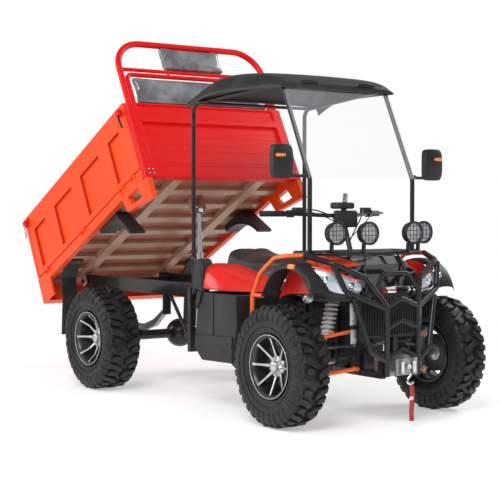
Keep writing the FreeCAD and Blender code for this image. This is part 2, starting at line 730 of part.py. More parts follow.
def front_rack():
    """A tubular carrier over the nose with its struts."""
    radius = size("rack_radius")
    z = size("rack_z")
    edge = [(-150, -345), (75, -345), (190, -165), (190, 165), (75, 345), (-150, 345)]
    shapes = [tube([(FRONT + x, y, z) for x, y in edge], radius, 50),
              bar((FRONT - 150, -345, z), (FRONT - 150, 345, z), radius)]
    for y in (-230, -115, 115, 230):
        end = 190 if abs(y) < 165 else 145
        shapes.append(bar((FRONT - 150, y, z), (FRONT + end, y, z), radius - 3))
    shapes.append(bar((FRONT, -345, z), (FRONT, 345, z), radius - 2))
    for _, sign in SIDES:
        shapes.append(bar((FRONT + 150, sign * 115, z), (FRONT + 226, sign * 160, 686), 6))
        foot = slab(((FRONT + 215 + size("seat_gap"), FRONT + 240),
                     tuple(sorted((sign * 145, sign * 175))), (660, 694)))
        shapes.append(foot)
        shapes.append(slab(((FRONT - 20, FRONT + 20),
                            tuple(sorted((sign * 338, sign * 382))),
                            (z, z + size("post_foot") - size("seat_gap")))))
    keep("front_rack", feature(join(shapes)))


def spot_lamps():
    radius, depth = size("lamp_radius"), size("lamp_depth")
    lamps = []
    for x, y in ((245, 155), (162, 302)):
        for _, sign in SIDES:
            drum = bar((FRONT + x - depth, sign * y, size("lamp_z")),
                       (FRONT + x, sign * y, size("lamp_z")), radius)
            low = size("rack_z") + size("rack_radius") + size("seat_gap")
            stand_x = FRONT + x - depth * 0.75
            near, far = sorted((sign * (y - 9), sign * (y + 9)))
            stand = slab(((stand_x - 8, stand_x + 10), (near, far),
                          (low, size("lamp_z") - radius + 8)))
            lamps.append(join([drum, stand]))
    keep("spot_lamps", feature(Part.makeCompound(lamps)))


def winch():
    """Motor body, fairlead plate and four rollers between the bumper's uprights."""
    side = size("frame_y") - size("frame_tube") / 2 - size("seat_gap")
    shapes = [slab(((FRONT + 215, FRONT + 300), (-side, side), (258, 362))),
              slab(((FRONT + 300, FRONT + 346), (-60, 60), (285, 338))),
              slab(((FRONT + 345, FRONT + 356), (-74, 74), (268, 354)))]
    for y in (-40, 40):
        shapes.append(Part.makeCylinder(9, 66, V(FRONT + 368, y, 278)))
        for z in (272, 340):
            shapes.append(slab(((FRONT + 352, FRONT + 378), (y - 11, y + 11), (z, z + 9))))
    keep("winch", feature(join(shapes)))


def winch_hook():
    points = [(372, 0, 312), (376, 0, 290), (386, 0, 268), (382, -16, 252), (384, -22, 232),
              (390, -4, 222), (393, 12, 234)]
    shank = tube([(FRONT + x, y, z) for x, y, z in points], 6, 12)
    ball = bar((FRONT + 356.3, 0, 311), (FRONT + 377, 0, 311), 14)
    keep("winch_hook", feature(join([shank, ball])))


def winch_strap():
    """A pull strap looped through the hook, hanging straight."""
    outline = [(FRONT + 388, 217.8), (FRONT + 391, 217.8), (FRONT + 396, 120),
               (FRONT + 401, 34), (FRONT + 398, 34), (FRONT + 393, 120)]
    wire = Part.makePolygon([V(x, -12, z) for x, z in outline]
                            + [V(outline[0][0], -12, outline[0][1])])
    keep("winch_strap", feature(Part.Face(wire).extrude(V(0, 24, 0))))


# ---------------------------------------------------------------- canopy

def canopy_frame():
    radius = size("canopy_radius")
    post_x, post_y = size("front_post_x"), size("front_post_y")
    foot = size("rack_z") + size("post_foot")
    bend_z = size("screen_low")
    lean = size("screen_lean")
    top = size("roof_rail_z")
    rear_x, rear_y = size("rear_post_x"), size("post_y")
    shapes = []
    for _, sign in SIDES:
        route = [(post_x, sign * post_y, foot), (post_x, sign * post_y, bend_z),
                 (post_x - lean - 17, sign * post_y, top), (rear_x, sign * rear_y, top - 60),
                 (rear_x, sign * rear_y, size("post_high") - 40)]
        shapes.append(tube(route, radius, 60))
    for x, half, z in ((post_x - lean - 90, post_y + 5, top - 4), (rear_x + 60, rear_y, top - 58)):
        shapes.append(bar((x, -half, z), (x, half, z), radius - 3))
    keep("canopy_frame", feature(join(shapes)))


def roof():
    """A moulded shell: wider and drooping at the back, with a wall all round."""
    rows = ((-1000, 490, 1700, 470, 1776), (-860, 475, 1755, 430, 1845),
            (-680, 450, 1775, 385, 1892), (-300, 410, 1775, 375, 1862),
            (-196, 396, 1772, 380, 1812))
    wall = size("roof_wall")
    arches = []
    for along, wide, edge, top_half, top in rows:
        x = FRONT + along
        outer = mirror_outline([(x, wide, edge), (x, wide, edge + 30), (x, top_half, top)])
        inner = mirror_outline([(x, wall - wide, edge), (x, wall - wide, edge + 30 - wall / 2),
                                (x, wall - top_half, top - wall)])
        arches.append(outer + inner)
    shell = loft(arches)
    front = FRONT + rows[-1][0]
    lip = slab(((front - wall, front - 0.5), (-386, 386), (1773, 1804)))
    seats = []
    fall = 60 / (size("front_post_x") - size("screen_lean") - 17 - size("rear_post_x"))
    for along, near, far, high in ((-300, 345, 371, 1855), (-660, 366, 393, 1871)):
        drop = (-along - size("screen_lean") - 17) * fall
        rest = size("roof_rail_z") - drop + size("canopy_radius") + 1.5 * size("seat_gap")
        for _, sign in SIDES:
            seats.append(slab(((FRONT + along - 40, FRONT + along),
                               tuple(sorted((sign * near, sign * far))), (rest, high))))
    keep("roof", feature(join([shell, lip] + seats)))


def windscreen():
    """A flat pane on the front of the leaning posts."""
    rise = size("roof_rail_z") - size("screen_low")
    run = size("screen_lean") + 17
    angle = math.degrees(math.atan2(run, rise))
    length = (size("screen_top") - size("screen_low")) / math.cos(math.radians(angle))
    half = size("front_post_y") + 10
    pane = doc.addObject("Part::Box", "pane")
    bind(pane, "Length", "screen_thickness")
    bind(pane, "Width", "2 * (front_post_y + 10)")
    pane.Height = length
    rotation = FreeCAD.Rotation(Y_AXIS, -angle)
    clear = size("canopy_radius") + size("seat_gap")
    start = V(size("front_post_x"), -half, size("screen_low")) + rotation.multVec(V(clear, 0, 0))
    keep("windscreen", pane, FreeCAD.Placement(start, rotation))


def mirrors():
    bend = size("screen_low")
    items = []
    for _, sign in SIDES:
        near, far = sorted((sign * 463, sign * 593))
        housing = slab(((FRONT - 45, FRONT + 8), (near, far), (bend - 1, bend + 177)))
        housing = housing.makeFillet(18, [e for e in housing.Edges
                                          if e.BoundBox.XLength > 50])
        post = size("front_post_y") + size("canopy_radius") + size("seat_gap")
        arm = bar((FRONT - 8, sign * 480, bend + 21), (FRONT - 8, sign * (post - 4), bend + 15), 9)
        clamp = slab(((FRONT - 30, FRONT + 2), tuple(sorted((sign * post, sign * (post + 14)))),
                      (bend + 3, bend + 29)))
        arm = arm.common(slab(((FRONT - 60, FRONT + 40), tuple(sorted((sign * post, sign * 520))),
                               (bend - 85, bend + 115))))
        items.append(join([housing, arm, clamp]))
    keep("mirrors", feature(Part.makeCompound(items)))


# ---------------------------------------------------------------- cargo bed (its own frame)

INNER = "(bed_half_width - sill_width)"
REAR = "(bed_front - bed_length)"


def bed_floor():
    """Floor plate on two long beams with cross ribs, hinge ears and the ram's bracket."""
    top = "seam_rise - floor_drop"
    under = "(seam_rise - floor_drop - floor_thickness)"
    rear = REAR + " + valance_thickness + seat_gap"
    members = [box(rear, "bed_front", "-" + INNER, INNER, under, top)]
    for _, sign in SIDES:
        near, far = "beam_y - beam_width / 2", "beam_y + beam_width / 2"
        members.append(side_box(sign, rear, "bed_front", near, far, "seam_rise - beam_drop",
                                under))
    pitch = "((bed_length - rib_width - valance_thickness - seat_gap) / (rib_count - 1))"
    for index in range(int(size("rib_count"))):
        start = "%s + %d * %s" % (rear, index, pitch)
        members.append(box(start, start + " + rib_width", "-" + INNER, INNER,
                           "seam_rise - rib_drop", under))
    for _, sign in SIDES:
        ear = side_box(sign, "-26", "26", "rail_y + rail_width / 2 + 12",
                       "rail_y + rail_width / 2 + 24", "-24", "seam_rise - beam_drop")
        members.append(ear)
        plate = side_box(sign, "ram_eye_ahead - 28", "ram_eye_ahead + 28", "38", "46",
                         "ram_eye_rise - 22", under)
        members.append(plate)
    whole = fuse(members)
    bore = cross_rod("0", "0", "hinge_pin + running_gap", "-bed_half_width", "bed_half_width")
    holed = cut(whole, [bore])
    pin = cross_rod("ram_eye_ahead", "ram_eye_rise", "ram_pin", "-46", "46")
    keep("bed_floor", fuse([holed, pin]), BED)


def loop_bracket(sign):
    """The slotted step under the front corner; its lower edge slopes."""
    front = "bed_front"
    outline = [(front + " - 287", "seam_rise - sill_drop"),
               (front + " - 255", "seam_rise - 165"),
               (front + " + headboard_thickness", "seam_rise - 217"),
               (front + " + headboard_thickness", "seam_rise - headboard_drop - seat_gap"),
               (front + " - 10", "seam_rise - headboard_drop - seat_gap"),
               (front + " - 10", "seam_rise - sill_drop")]
    hole = [(front + " - 218", "seam_rise - 84"), (front + " - 180", "seam_rise - 150"),
            (front + " - 58", "seam_rise - 164"), (front + " - 86", "seam_rise - 84")]
    plate = side_pad(sign, outline, "bed_half_width - 36", "bed_half_width")
    window = side_pad(sign, hole, "bed_half_width - 60", "bed_half_width + 20")
    return cut(plate, [window])


def bed_skirts():
    """Sills, rear valance, loop brackets and the fixed halves of the hinges."""
    members = []
    low, high = "seam_rise - sill_drop", "seam_rise - seam_gap"
    for _, sign in SIDES:
        members.append(side_box(sign, REAR, "bed_front", INNER, "bed_half_width", low, high))
        members.append(loop_bracket(sign))
        members.append(side_box(sign, REAR, REAR + " + 170", "bed_half_width - 14",
                                "bed_half_width", "seam_rise - valance_drop", low))
    members.append(box(REAR, REAR + " + valance_thickness", "-bed_half_width",
                       "bed_half_width", "seam_rise - valance_drop", "seam_rise - sill_drop"))
    members.append(box(REAR, REAR + " + valance_thickness", "-(%s)" % INNER, INNER,
                       "seam_rise - sill_drop", "seam_rise - seam_gap"))
    members.append(box(REAR, REAR + " + 60", "-bed_half_width", "bed_half_width",
                       "seam_rise - valance_drop", "seam_rise - valance_drop + 6"))
    for _, sign in SIDES:
        for back in HINGE_BACKS:
            for shift in (-26, 18):
                x = "bed_front - %g + %g" % (back, shift)
                members.append(side_box(sign, x, x + " + 8", "bed_half_width - 1",
                                        "bed_half_width + hinge_out + 6", "seam_rise - 22",
                                        "seam_rise + hinge_wire + 0.7"))
            x = "bed_front - %g" % back
            wire = doc.addObject("Part::Cylinder", "wire")
            bind(wire, "Radius", "hinge_wire")
            bind(wire, "Height", "52")
            wire.Placement = FreeCAD.Placement(V(), FreeCAD.Rotation(Y_AXIS, 90))
            bind(wire, "Placement.Base.x", x + " - 26")
            bind(wire, "Placement.Base.y", "%d * (bed_half_width + hinge_out)" % sign)
            bind(wire, "Placement.Base.z", "seam_rise")
            members.append(wire)
    for y in GATE_HINGES:
        for shift in (-26, 18):
            members.append(box(REAR + " - hinge_out - 6", REAR + " + 1",
                               "%g + %g" % (y, shift), "%g + %g + 8" % (y, shift),
                               "seam_rise - 22", "seam_rise + hinge_wire + 0.7"))
        members.append(cross_rod(REAR + " - hinge_out", "seam_rise", "hinge_wire",
                                 "%g - 26" % y, "%g + 26" % y))
    keep("bed_skirts", fuse(members), BED)


HINGE_BACKS = (104, 255, 824, 1407)
GATE_HINGES = (-470, 0, 470)


def headboard():
    """The front wall: a recessed panel between two posts, a ledge and a channel."""
    front, back = "bed_front + headboard_thickness", "bed_front"
    low, high = "seam_rise - headboard_drop", "seam_rise + headboard_height"
    inner = "(bed_half_width - headboard_post)"
    whole = box(back, front, "-bed_half_width", "bed_half_width", low, high)
    recess = box(front + " - 20", front + " + 5", "-" + inner, inner, "seam_rise + 20",
                 "seam_rise + 300")
    upper = box(front + " - 12", front + " + 5", "-" + inner, inner, "seam_rise + 354",
                high + " - 12")
    keep("headboard", cut(whole, [recess, upper]), BED)


def hoop_rack():
    """Bent tube hoops on the headboard."""
    x = size("bed_front") + size("headboard_thickness") / 2
    rise = size("seam_rise")
    foot = rise + size("headboard_height")
    radius = size("hoop_radius")
    half, top = size("hoop_half"), rise + size("hoop_top")
    outer = [(x, -half, foot), (x, -half, top), (x, half, top), (x, half, foot)]
    inner_half, inner_top = size("inner_hoop_half"), rise + size("inner_hoop_top")
    inner = [(x, -inner_half, foot), (x, -inner_half, inner_top), (x, inner_half, inner_top),
             (x, inner_half, foot)]
    bar_z = rise + size("hoop_bar")
    shapes = [tube(outer, radius, size("hoop_bend")), tube(inner, radius - 6, 40),
              bar((x, -half, bar_z), (x, half, bar_z), radius - 8)]
    for _, sign in SIDES:
        shapes.append(bar((x, sign * 200, inner_top), (x, sign * 200, bar_z + 4), 8))
    keep("hoop_rack", feature(join(shapes)), BED)


def cushion(x_mid, half, z_low, z_high):
    thick = size("cushion_thickness")
    block = slab(((x_mid - thick / 2, x_mid + thick / 2), (-half, half), (z_low, z_high)))
    return block.makeFillet(14, block.Edges)


def backrests():
    x = size("bed_front") + size("headboard_thickness") / 2
    rise = size("seam_rise")
    gap = size("seat_gap")
    low = rise + size("headboard_height") + gap
    high = rise + size("inner_hoop_top") - size("hoop_radius") - gap
    half = size("inner_hoop_half") - size("hoop_radius") - gap
    keep("backrest_lower", feature(cushion(x, half, low, high)), BED)
    low = rise + size("hoop_bar") + size("hoop_radius") - 8 + gap
    high = rise + size("hoop_top") - size("hoop_radius") - gap
    keep("backrest_upper", feature(cushion(x, 228, low, high)), BED)


def bed_mudguards():
    """Arch-cut guards ahead of the rear wheels and flapped guards behind them."""
    front = size("bed_front")
    under = size("seam_rise") - size("rib_drop") - size("seat_gap")
    wheel_x = FRONT - size("wheelbase") - size("hinge_x")
    wheel_z = size("axle_z") - size("hinge_z")
    clear = size("tyre_radius") + 18
    shapes = []
    for _, sign in SIDES:
        near, far = sorted((sign * 430, sign * 538.2))
        outline = [(front - 690, under), (front - 480, under), (front - 345, under - 205),
                   (front - 372, under - 212), (front - 690, under - 60)]
        wire = Part.makePolygon([V(x, near, z) for x, z in outline]
                                + [V(outline[0][0], near, outline[0][1])])
        block = Part.Face(wire).extrude(V(0, far - near, 0))
        arch_cut = bar((wheel_x, near - 5, wheel_z), (wheel_x, far + 5, wheel_z), clear)
        shapes.append(block.cut(arch_cut))
        flap = [(front - 1165, under), (front - 1230, under), (front - 1330, under - 60),
                (front - 1372, under - 190), (front - 1500, under - 400),
                (front - 1494, under - 404), (front - 1362, under - 190),
                (front - 1318, under - 66), (front - 1225, under - 12), (front - 1165, under - 12)]
        wire = Part.makePolygon([V(x, near, z) for x, z in flap] + [V(flap[0][0], near,
                                                                      flap[0][1])])
        shapes.append(Part.Face(wire).extrude(V(0, far - near, 0)))
    keep("bed_mudguards", feature(Part.makeCompound(shapes)), BED)


def drop_sides():
    """Ribbed side walls with the moving halves of their hinges."""
    rear = REAR + " + gate_thickness + panel_gap"
    front = "bed_front - panel_gap"
    low = "seam_rise + seam_gap"
    high = "seam_rise + side_height"
    for side, sign in SIDES:
        skin_near = "bed_half_width - side_thickness"
        skin_far = "bed_half_width - side_thickness + side_skin"
        members = [side_box(sign, rear, front, skin_near, skin_far, low, high),
                   side_box(sign, rear, front, skin_far, "bed_half_width",
                            "seam_rise + 330", high),
                   side_box(sign, rear, front, skin_far, "bed_half_width", low,
                            "seam_rise + 42")]
        ribs = ((131, None), (425, 283), (844, 702), (1283, 1120), (None, 1460))
        for back_far, back_near in ribs:
            x_low = rear if back_far is None else "bed_front - %d" % back_far
            x_high = front if back_near is None else "bed_front - %d" % back_near
            members.append(side_box(sign, x_low, x_high, skin_far, "bed_half_width",
                                    "seam_rise + 40", "seam_rise + 332"))
        wires = []
        for back in HINGE_BACKS:
            x = "bed_front - %g" % back
            members.append(side_box(sign, x + " - 16", x + " + 16", "bed_half_width - 1",
                                    "bed_half_width + hinge_out", low,
                                    "seam_rise + 14"))
            for kind, radius, length in (("barrel", "hinge_barrel", 32),
                                         ("wire", "hinge_wire + running_gap", 60)):
                item = doc.addObject("Part::Cylinder", kind)
                bind(item, "Radius", radius)
                bind(item, "Height", "%d" % length)
                item.Placement = FreeCAD.Placement(V(), FreeCAD.Rotation(Y_AXIS, 90))
                bind(item, "Placement.Base.x", x + " - %d" % (length // 2))
                bind(item, "Placement.Base.y", "%d * (bed_half_width + hinge_out)" % sign)
                bind(item, "Placement.Base.z", "seam_rise")
                if kind == "barrel":
                    members.append(item)
                else:
                    wires.append(item)
        latch = side_box(sign, rear, rear + " + 30", "bed_half_width - 1",
                         "bed_half_width + 12", "seam_rise + 400", "seam_rise + 440")
        members.append(latch)
        keep("drop_side_" + side, cut(fuse(members), wires), BED)


def tailgate():
    """The rear wall, hinged at its foot."""
    low, high = "seam_rise + seam_gap", "seam_rise + side_height"
    outer = REAR
    skin = REAR + " + gate_thickness - side_skin"
    inner = REAR + " + gate_thickness"
    members = [box(skin, inner, "-bed_half_width", "bed_half_width", low, high),
               box(outer, skin, "-bed_half_width", "bed_half_width", "seam_rise + 330", high),
               box(outer, skin, "-bed_half_width", "bed_half_width", low, "seam_rise + 42")]
    for y_low, y_high in (("-bed_half_width", "120 - bed_half_width"), ("-60", "60"),
                          ("bed_half_width - 120", "bed_half_width")):
        members.append(box(outer, skin, y_low, y_high, "seam_rise + 40", "seam_rise + 332"))
    wires = []
    for y in GATE_HINGES:
        members.append(box(REAR + " - hinge_out", REAR + " + 1", "%g - 16" % y, "%g + 16" % y,
                           low, "seam_rise + 14"))
        members.append(cross_rod(REAR + " - hinge_out", "seam_rise", "hinge_barrel",
                                 "%g - 16" % y, "%g + 16" % y))
        wires.append(cross_rod(REAR + " - hinge_out", "seam_rise", "hinge_wire + running_gap",
                               "%g - 30" % y, "%g + 30" % y))
    keep("tailgate", cut(fuse(members), wires), BED)


# ---------------------------------------------------------------- lifting ram

def ram():
    """Barrel and two stages along the line from the foot pin to the bed's pin."""
    foot = V(size("ram_foot_x"), 0, size("ram_foot_z"))
    eye = BED.multVec(V(size("ram_eye_ahead"), 0, size("ram_eye_rise")))
    run = (eye - foot).Length
    angle = math.degrees(math.atan2(eye.x - foot.x, eye.z - foot.z))
    placement = FreeCAD.Placement(foot, FreeCAD.Rotation(Y_AXIS, angle))
    tilt = math.radians(size("tilt"))
    closed_eye = V(size("hinge_x") + size("ram_eye_ahead"), 0,
                   size("hinge_z") + size("ram_eye_rise"))
    stroke = run - (closed_eye - foot).Length
    gap = size("running_gap")
    start, length = size("ram_start"), size("ram_length")
    one, two = size("ram_one_radius"), size("ram_two_radius")
    up = V(0, 0, 1)
    foot_ring = Part.makeCylinder(20, 40, V(0, -20, 0), Y_AXIS)
    barrel = Part.makeCylinder(size("ram_radius"), length, V(0, 0, start), up)
    barrel = barrel.fuse(foot_ring)
    barrel = barrel.cut(Part.makeCylinder(one + gap, length, V(0, 0, start + 8), up))
    barrel = barrel.cut(Part.makeCylinder(size("ram_pin") + gap, 60, V(0, -30, 0), Y_AXIS))
    keep("ram_barrel", feature(barrel.removeSplitter()), placement)
    lift = stroke / 2
    stage_low = start + 12 + lift
    stage_high = start + length + 6 + lift
    stage = Part.makeCylinder(one, stage_high - stage_low, V(0, 0, stage_low), up)
    stage = stage.cut(Part.makeCylinder(two + gap, stage_high, V(0, 0, stage_low + 6), up))
    keep("ram_stage_1", feature(stage), placement)
    rod_low = start + 20 + 2 * lift
    ring = Part.makeCylinder(size("ram_eye_radius"), 32, V(0, -16, run), Y_AXIS)
    bore = Part.makeCylinder(size("ram_eye_bore"), 40, V(0, -20, run), Y_AXIS)
    rod = Part.makeCylinder(two, run - rod_low, V(0, 0, rod_low), up)
    keep("ram_stage_2", feature(rod.fuse(ring).cut(bore).removeSplitter()), placement)


for build in (wheels, knuckles, tie_rods, suspension_arms, front_shocks, half_shafts, handlebar,
              bar_controls, main_frame, engine_block, front_gearbox, rear_chassis, rear_axle,
              leaf_springs, front_cowl, front_flares, headlights, seat, rear_fenders, footwells,
              radiator, front_bumper, side_guards, front_rack, spot_lamps, winch, winch_hook,
              winch_strap, canopy_frame, roof, windscreen, mirrors, bed_floor, bed_skirts,
              headboard, hoop_rack, backrests, bed_mudguards, drop_sides, tailgate, ram):
    build()

doc.recompute()
for item in doc.Objects:
    if "Invalid" in item.State or "Error" in item.State:
        raise ValueError("failed object: %s (%s)" % (item.Label, item.State))
for item in pieces:
    if item.Shape.isNull() or not item.Shape.isValid():
        raise ValueError("bad shape: " + item.Label)
os.makedirs("parts", exist_ok=True)
for item in pieces:
    item.Shape.exportStep("parts/%s.step" % item.Label)
print("pieces", len(pieces))
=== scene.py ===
import json
import math

import bmesh
import bpy
from mathutils import Matrix, Vector

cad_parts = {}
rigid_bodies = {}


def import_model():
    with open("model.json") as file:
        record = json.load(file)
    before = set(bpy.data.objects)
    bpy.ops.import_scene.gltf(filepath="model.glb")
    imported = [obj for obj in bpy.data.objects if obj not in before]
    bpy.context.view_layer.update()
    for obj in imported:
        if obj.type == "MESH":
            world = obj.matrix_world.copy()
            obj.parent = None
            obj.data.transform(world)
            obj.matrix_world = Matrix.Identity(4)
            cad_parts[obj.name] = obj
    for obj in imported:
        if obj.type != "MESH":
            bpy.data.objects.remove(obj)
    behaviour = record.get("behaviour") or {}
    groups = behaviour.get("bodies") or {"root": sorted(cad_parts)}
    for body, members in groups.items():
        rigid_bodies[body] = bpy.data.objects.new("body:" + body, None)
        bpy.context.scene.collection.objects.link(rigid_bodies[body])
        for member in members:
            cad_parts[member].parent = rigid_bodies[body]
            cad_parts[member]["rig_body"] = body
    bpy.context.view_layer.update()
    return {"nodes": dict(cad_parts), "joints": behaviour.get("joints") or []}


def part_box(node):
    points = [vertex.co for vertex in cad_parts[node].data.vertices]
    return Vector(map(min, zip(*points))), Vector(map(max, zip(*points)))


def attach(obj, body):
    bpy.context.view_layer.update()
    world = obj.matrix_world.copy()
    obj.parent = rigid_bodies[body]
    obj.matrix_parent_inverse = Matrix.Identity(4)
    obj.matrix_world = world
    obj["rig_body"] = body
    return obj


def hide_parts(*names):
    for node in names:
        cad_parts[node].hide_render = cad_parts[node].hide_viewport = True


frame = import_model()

# A farm quad bike with a tipped cargo bed. Metres, +X forward, +Y left, +Z up.
# Bed pieces are drawn in the bed's own frame (origin on the hinge pin) and tipped by BED.

NODES = frame["nodes"]
JOINTS = {joint["name"]: joint for joint in frame["joints"]}
HINGE = Vector(JOINTS["bed_tip"]["pos_m"])
TIP = math.radians(JOINTS["bed_tip"]["range_deg"][1])
BED = Matrix.Translation(HINGE) @ Matrix.Rotation(-TIP, 4, "Y")
SIDES = (("right", -1), ("left", 1))
FRONT_X = (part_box("tyre_front_right")[0].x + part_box("tyre_front_right")[1].x) / 2

# bed sizes, in its own frame
BED_FRONT = 1.382
BED_LENGTH = 1.572
BED_HALF = 0.5786
SEAM = 0.112
SIDE_HEIGHT = 0.459

# how hard and how long the pads swell
PUFF_PRESSURE = 4
PUFF_FRAMES = 20

# the camera looks down by the dip and is turned from the Y axis, in degrees
CAMERA_DIP = 1.848
CAMERA_TURN = 54.693

# the floor fades to white between these distances; lamps aim at the lit point
FLOOR_GLOW = 0.40
FADE_START = 1.4
FADE_END = 3.4
SKY_LIGHT = 0.40
LIT_POINT = (0, 0, 0.8)


# ------------------------------------------------------------------ shader helpers

def node(tree, kind, **values):
    """Add a node; numeric names are sockets, words are properties."""
    item = tree.nodes.new(kind)
    for key, value in values.items():
        if hasattr(item, key):
            setattr(item, key, value)
        else:
            item.inputs[key.replace("_", " ")].default_value = value
    return item


def math_node(tree, operation, first, second=None):
    item = tree.nodes.new("ShaderNodeMath")
    item.operation = operation
    for index, value in enumerate((first, second)):
        if value is None:
            continue
        if isinstance(value, (int, float)):
            item.inputs[index].default_value = value
        else:
            tree.links.new(value, item.inputs[index])
    return item.outputs[0]


def mix_colour(tree, factor, first, second):
    item = tree.nodes.new("ShaderNodeMix")
    item.data_type = "RGBA"
    for socket, value in ((item.inputs[0], factor), (item.inputs[6], first),
                          (item.inputs[7], second)):
        if isinstance(value, (int, float)):
            socket.default_value = value
        elif isinstance(value, (tuple, list)):
            socket.default_value = (*value[:3], 1)
        else:
            tree.links.new(value, socket)
    return item.outputs[2]


def new_group(name, inputs, outputs):
    """An empty shader node group with its two end nodes."""
    group = bpy.data.node_groups.new(name, "ShaderNodeTree")
    for label, kind, value in inputs:
        socket = group.interface.new_socket(label, in_out="INPUT", socket_type=kind)
        if value is not None:
            socket.default_value = value
    for label, kind in outputs:
        group.interface.new_socket(label, in_out="OUTPUT", socket_type=kind)
    return group, group.nodes.new("NodeGroupInput"), group.nodes.new("NodeGroupOutput")


def dust_group():
    """Uneven dust and streaks: a mask from 0 to Amount."""
    group, start, end = new_group(
        "dust", (("Vector", "NodeSocketVector", None), ("Scale", "NodeSocketFloat", 6.0),
                 ("Amount", "NodeSocketFloat", 0.3)), (("Mask", "NodeSocketFloat"),))
    broad = node(group, "ShaderNodeTexNoise", Detail=6.0, Roughness=0.62)
    group.links.new(start.outputs["Vector"], broad.inputs["Vector"])
    group.links.new(start.outputs["Scale"], broad.inputs["Scale"])
    ramp = node(group, "ShaderNodeValToRGB")
    ramp.color_ramp.elements[0].position = 0.42
    ramp.color_ramp.elements[1].position = 0.72
    group.links.new(broad.outputs[0], ramp.inputs[0])
    group.links.new(math_node(group, "MULTIPLY", ramp.outputs[0], start.outputs["Amount"]),
                    end.inputs["Mask"])
    return group


def grain_group():
    """Fine moulded or orange-peel grain as a height."""
    group, start, end = new_group(
        "grain", (("Vector", "NodeSocketVector", None), ("Scale", "NodeSocketFloat", 400.0)),
        (("Height", "NodeSocketFloat"),))
    fine = node(group, "ShaderNodeTexNoise", Detail=2.0, Roughness=0.5)
    group.links.new(start.outputs["Vector"], fine.inputs["Vector"])
    group.links.new(start.outputs["Scale"], fine.inputs["Scale"])
    group.links.new(fine.outputs[0], end.inputs["Height"])
    return group


DUST = dust_group()
GRAIN = grain_group()


def plate_group():
    """Raised lozenges of tread plate, alternating in direction, on a flat X-Y pattern."""
    group, start, end = new_group(
        "tread_plate", (("Vector", "NodeSocketVector", None), ("Pitch", "NodeSocketFloat", 0.03)),
        (("Height", "NodeSocketFloat"),))
    parts = node(group, "ShaderNodeSeparateXYZ")
    group.links.new(start.outputs["Vector"], parts.inputs[0])
    across = math_node(group, "DIVIDE", parts.outputs[0], start.outputs["Pitch"])
    along = math_node(group, "DIVIDE", parts.outputs[1], start.outputs["Pitch"])
    cell = math_node(group, "ADD", math_node(group, "FLOOR", across),
                     math_node(group, "FLOOR", along))
    odd = math_node(group, "MULTIPLY", math_node(group, "FLOORED_MODULO", cell, 2.0), 2.0)
    turn = math_node(group, "SUBTRACT", odd, 1.0)
    local_x = math_node(group, "SUBTRACT", math_node(group, "FRACT", across), 0.5)
    local_y = math_node(group, "SUBTRACT", math_node(group, "FRACT", along), 0.5)
    flipped = math_node(group, "MULTIPLY", local_y, turn)
    length = math_node(group, "ADD", local_x, flipped)
    width = math_node(group, "SUBTRACT", local_x, flipped)
    long_part = math_node(group, "POWER", math_node(group, "ABSOLUTE", length), 2.0)
    wide = math_node(group, "MULTIPLY", math_node(group, "POWER", math_node(
        group, "ABSOLUTE", width), 2.0), 14.0)
    shape = math_node(group, "SUBTRACT", 0.42, math_node(group, "ADD", long_part, wide))
    smooth = math_node(group, "MINIMUM", math_node(group, "MULTIPLY", math_node(
        group, "MAXIMUM", shape, 0.0), 4.0), 1.0)
    group.links.new(smooth, end.inputs["Height"])
    return group


PLATE = plate_group()


def finish_material(name, colour, rough=0.4, metallic=0.0, coat=0.0, dust=(0.32, 0.29, 0.26),
                    dust_amount=0.25, dust_scale=5.0, grain=500.0, bump=0.08, plate=None,
                    specular=0.5):
    """A painted, moulded or metal surface with its dust, grain and roughness."""
    material = bpy.data.materials.new(name)
    material.use_nodes = True
    tree = material.node_tree
    shader = tree.nodes["Principled BSDF"]
    place = node(tree, "ShaderNodeTexCoord")
    dirt = tree.nodes.new("ShaderNodeGroup")
    dirt.node_tree = DUST
    dirt.inputs["Scale"].default_value = dust_scale
    dirt.inputs["Amount"].default_value = dust_amount
    tree.links.new(place.outputs["Object"], dirt.inputs["Vector"])
    tree.links.new(mix_colour(tree, dirt.outputs["Mask"], colour, dust),
                   shader.inputs["Base Color"])
    worn = math_node(tree, "MULTIPLY", dirt.outputs["Mask"], 0.45)
    tree.links.new(math_node(tree, "ADD", worn, rough), shader.inputs["Roughness"])
    peel = tree.nodes.new("ShaderNodeGroup")
    peel.node_tree = GRAIN
    peel.inputs["Scale"].default_value = grain
    tree.links.new(place.outputs["Object"], peel.inputs["Vector"])
    relief = node(tree, "ShaderNodeBump", Strength=bump, Distance=0.001)
    tree.links.new(peel.outputs["Height"], relief.inputs["Height"])
    normal = relief.outputs[0]
    if plate:
        turn = node(tree, "ShaderNodeMapping")
        turn.inputs["Rotation"].default_value = plate
        tree.links.new(place.outputs["Object"], turn.inputs["Vector"])
        pattern = tree.nodes.new("ShaderNodeGroup")
        pattern.node_tree = PLATE
        tree.links.new(turn.outputs[0], pattern.inputs["Vector"])
        raised = node(tree, "ShaderNodeBump", Strength=0.8, Distance=0.0015)
        tree.links.new(pattern.outputs["Height"], raised.inputs["Height"])
        tree.links.new(normal, raised.inputs["Normal"])
        normal = raised.outputs[0]
    tree.links.new(normal, shader.inputs["Normal"])
    shader.inputs["Metallic"].default_value = metallic
    shader.inputs["Coat Weight"].default_value = coat
    shader.inputs["Coat Roughness"].default_value = 0.08
    shader.inputs["Specular IOR Level"].default_value = specular
    return material


def glass_material(name, colour, alpha):
    material = bpy.data.materials.new(name)
    material.use_nodes = True
    shader = material.node_tree.nodes["Principled BSDF"]
    shader.inputs["Base Color"].default_value = (*colour, 1)
    shader.inputs["Roughness"].default_value = 0.03
    shader.inputs["Alpha"].default_value = alpha
    shader.inputs["IOR"].default_value = 1.49
    return material


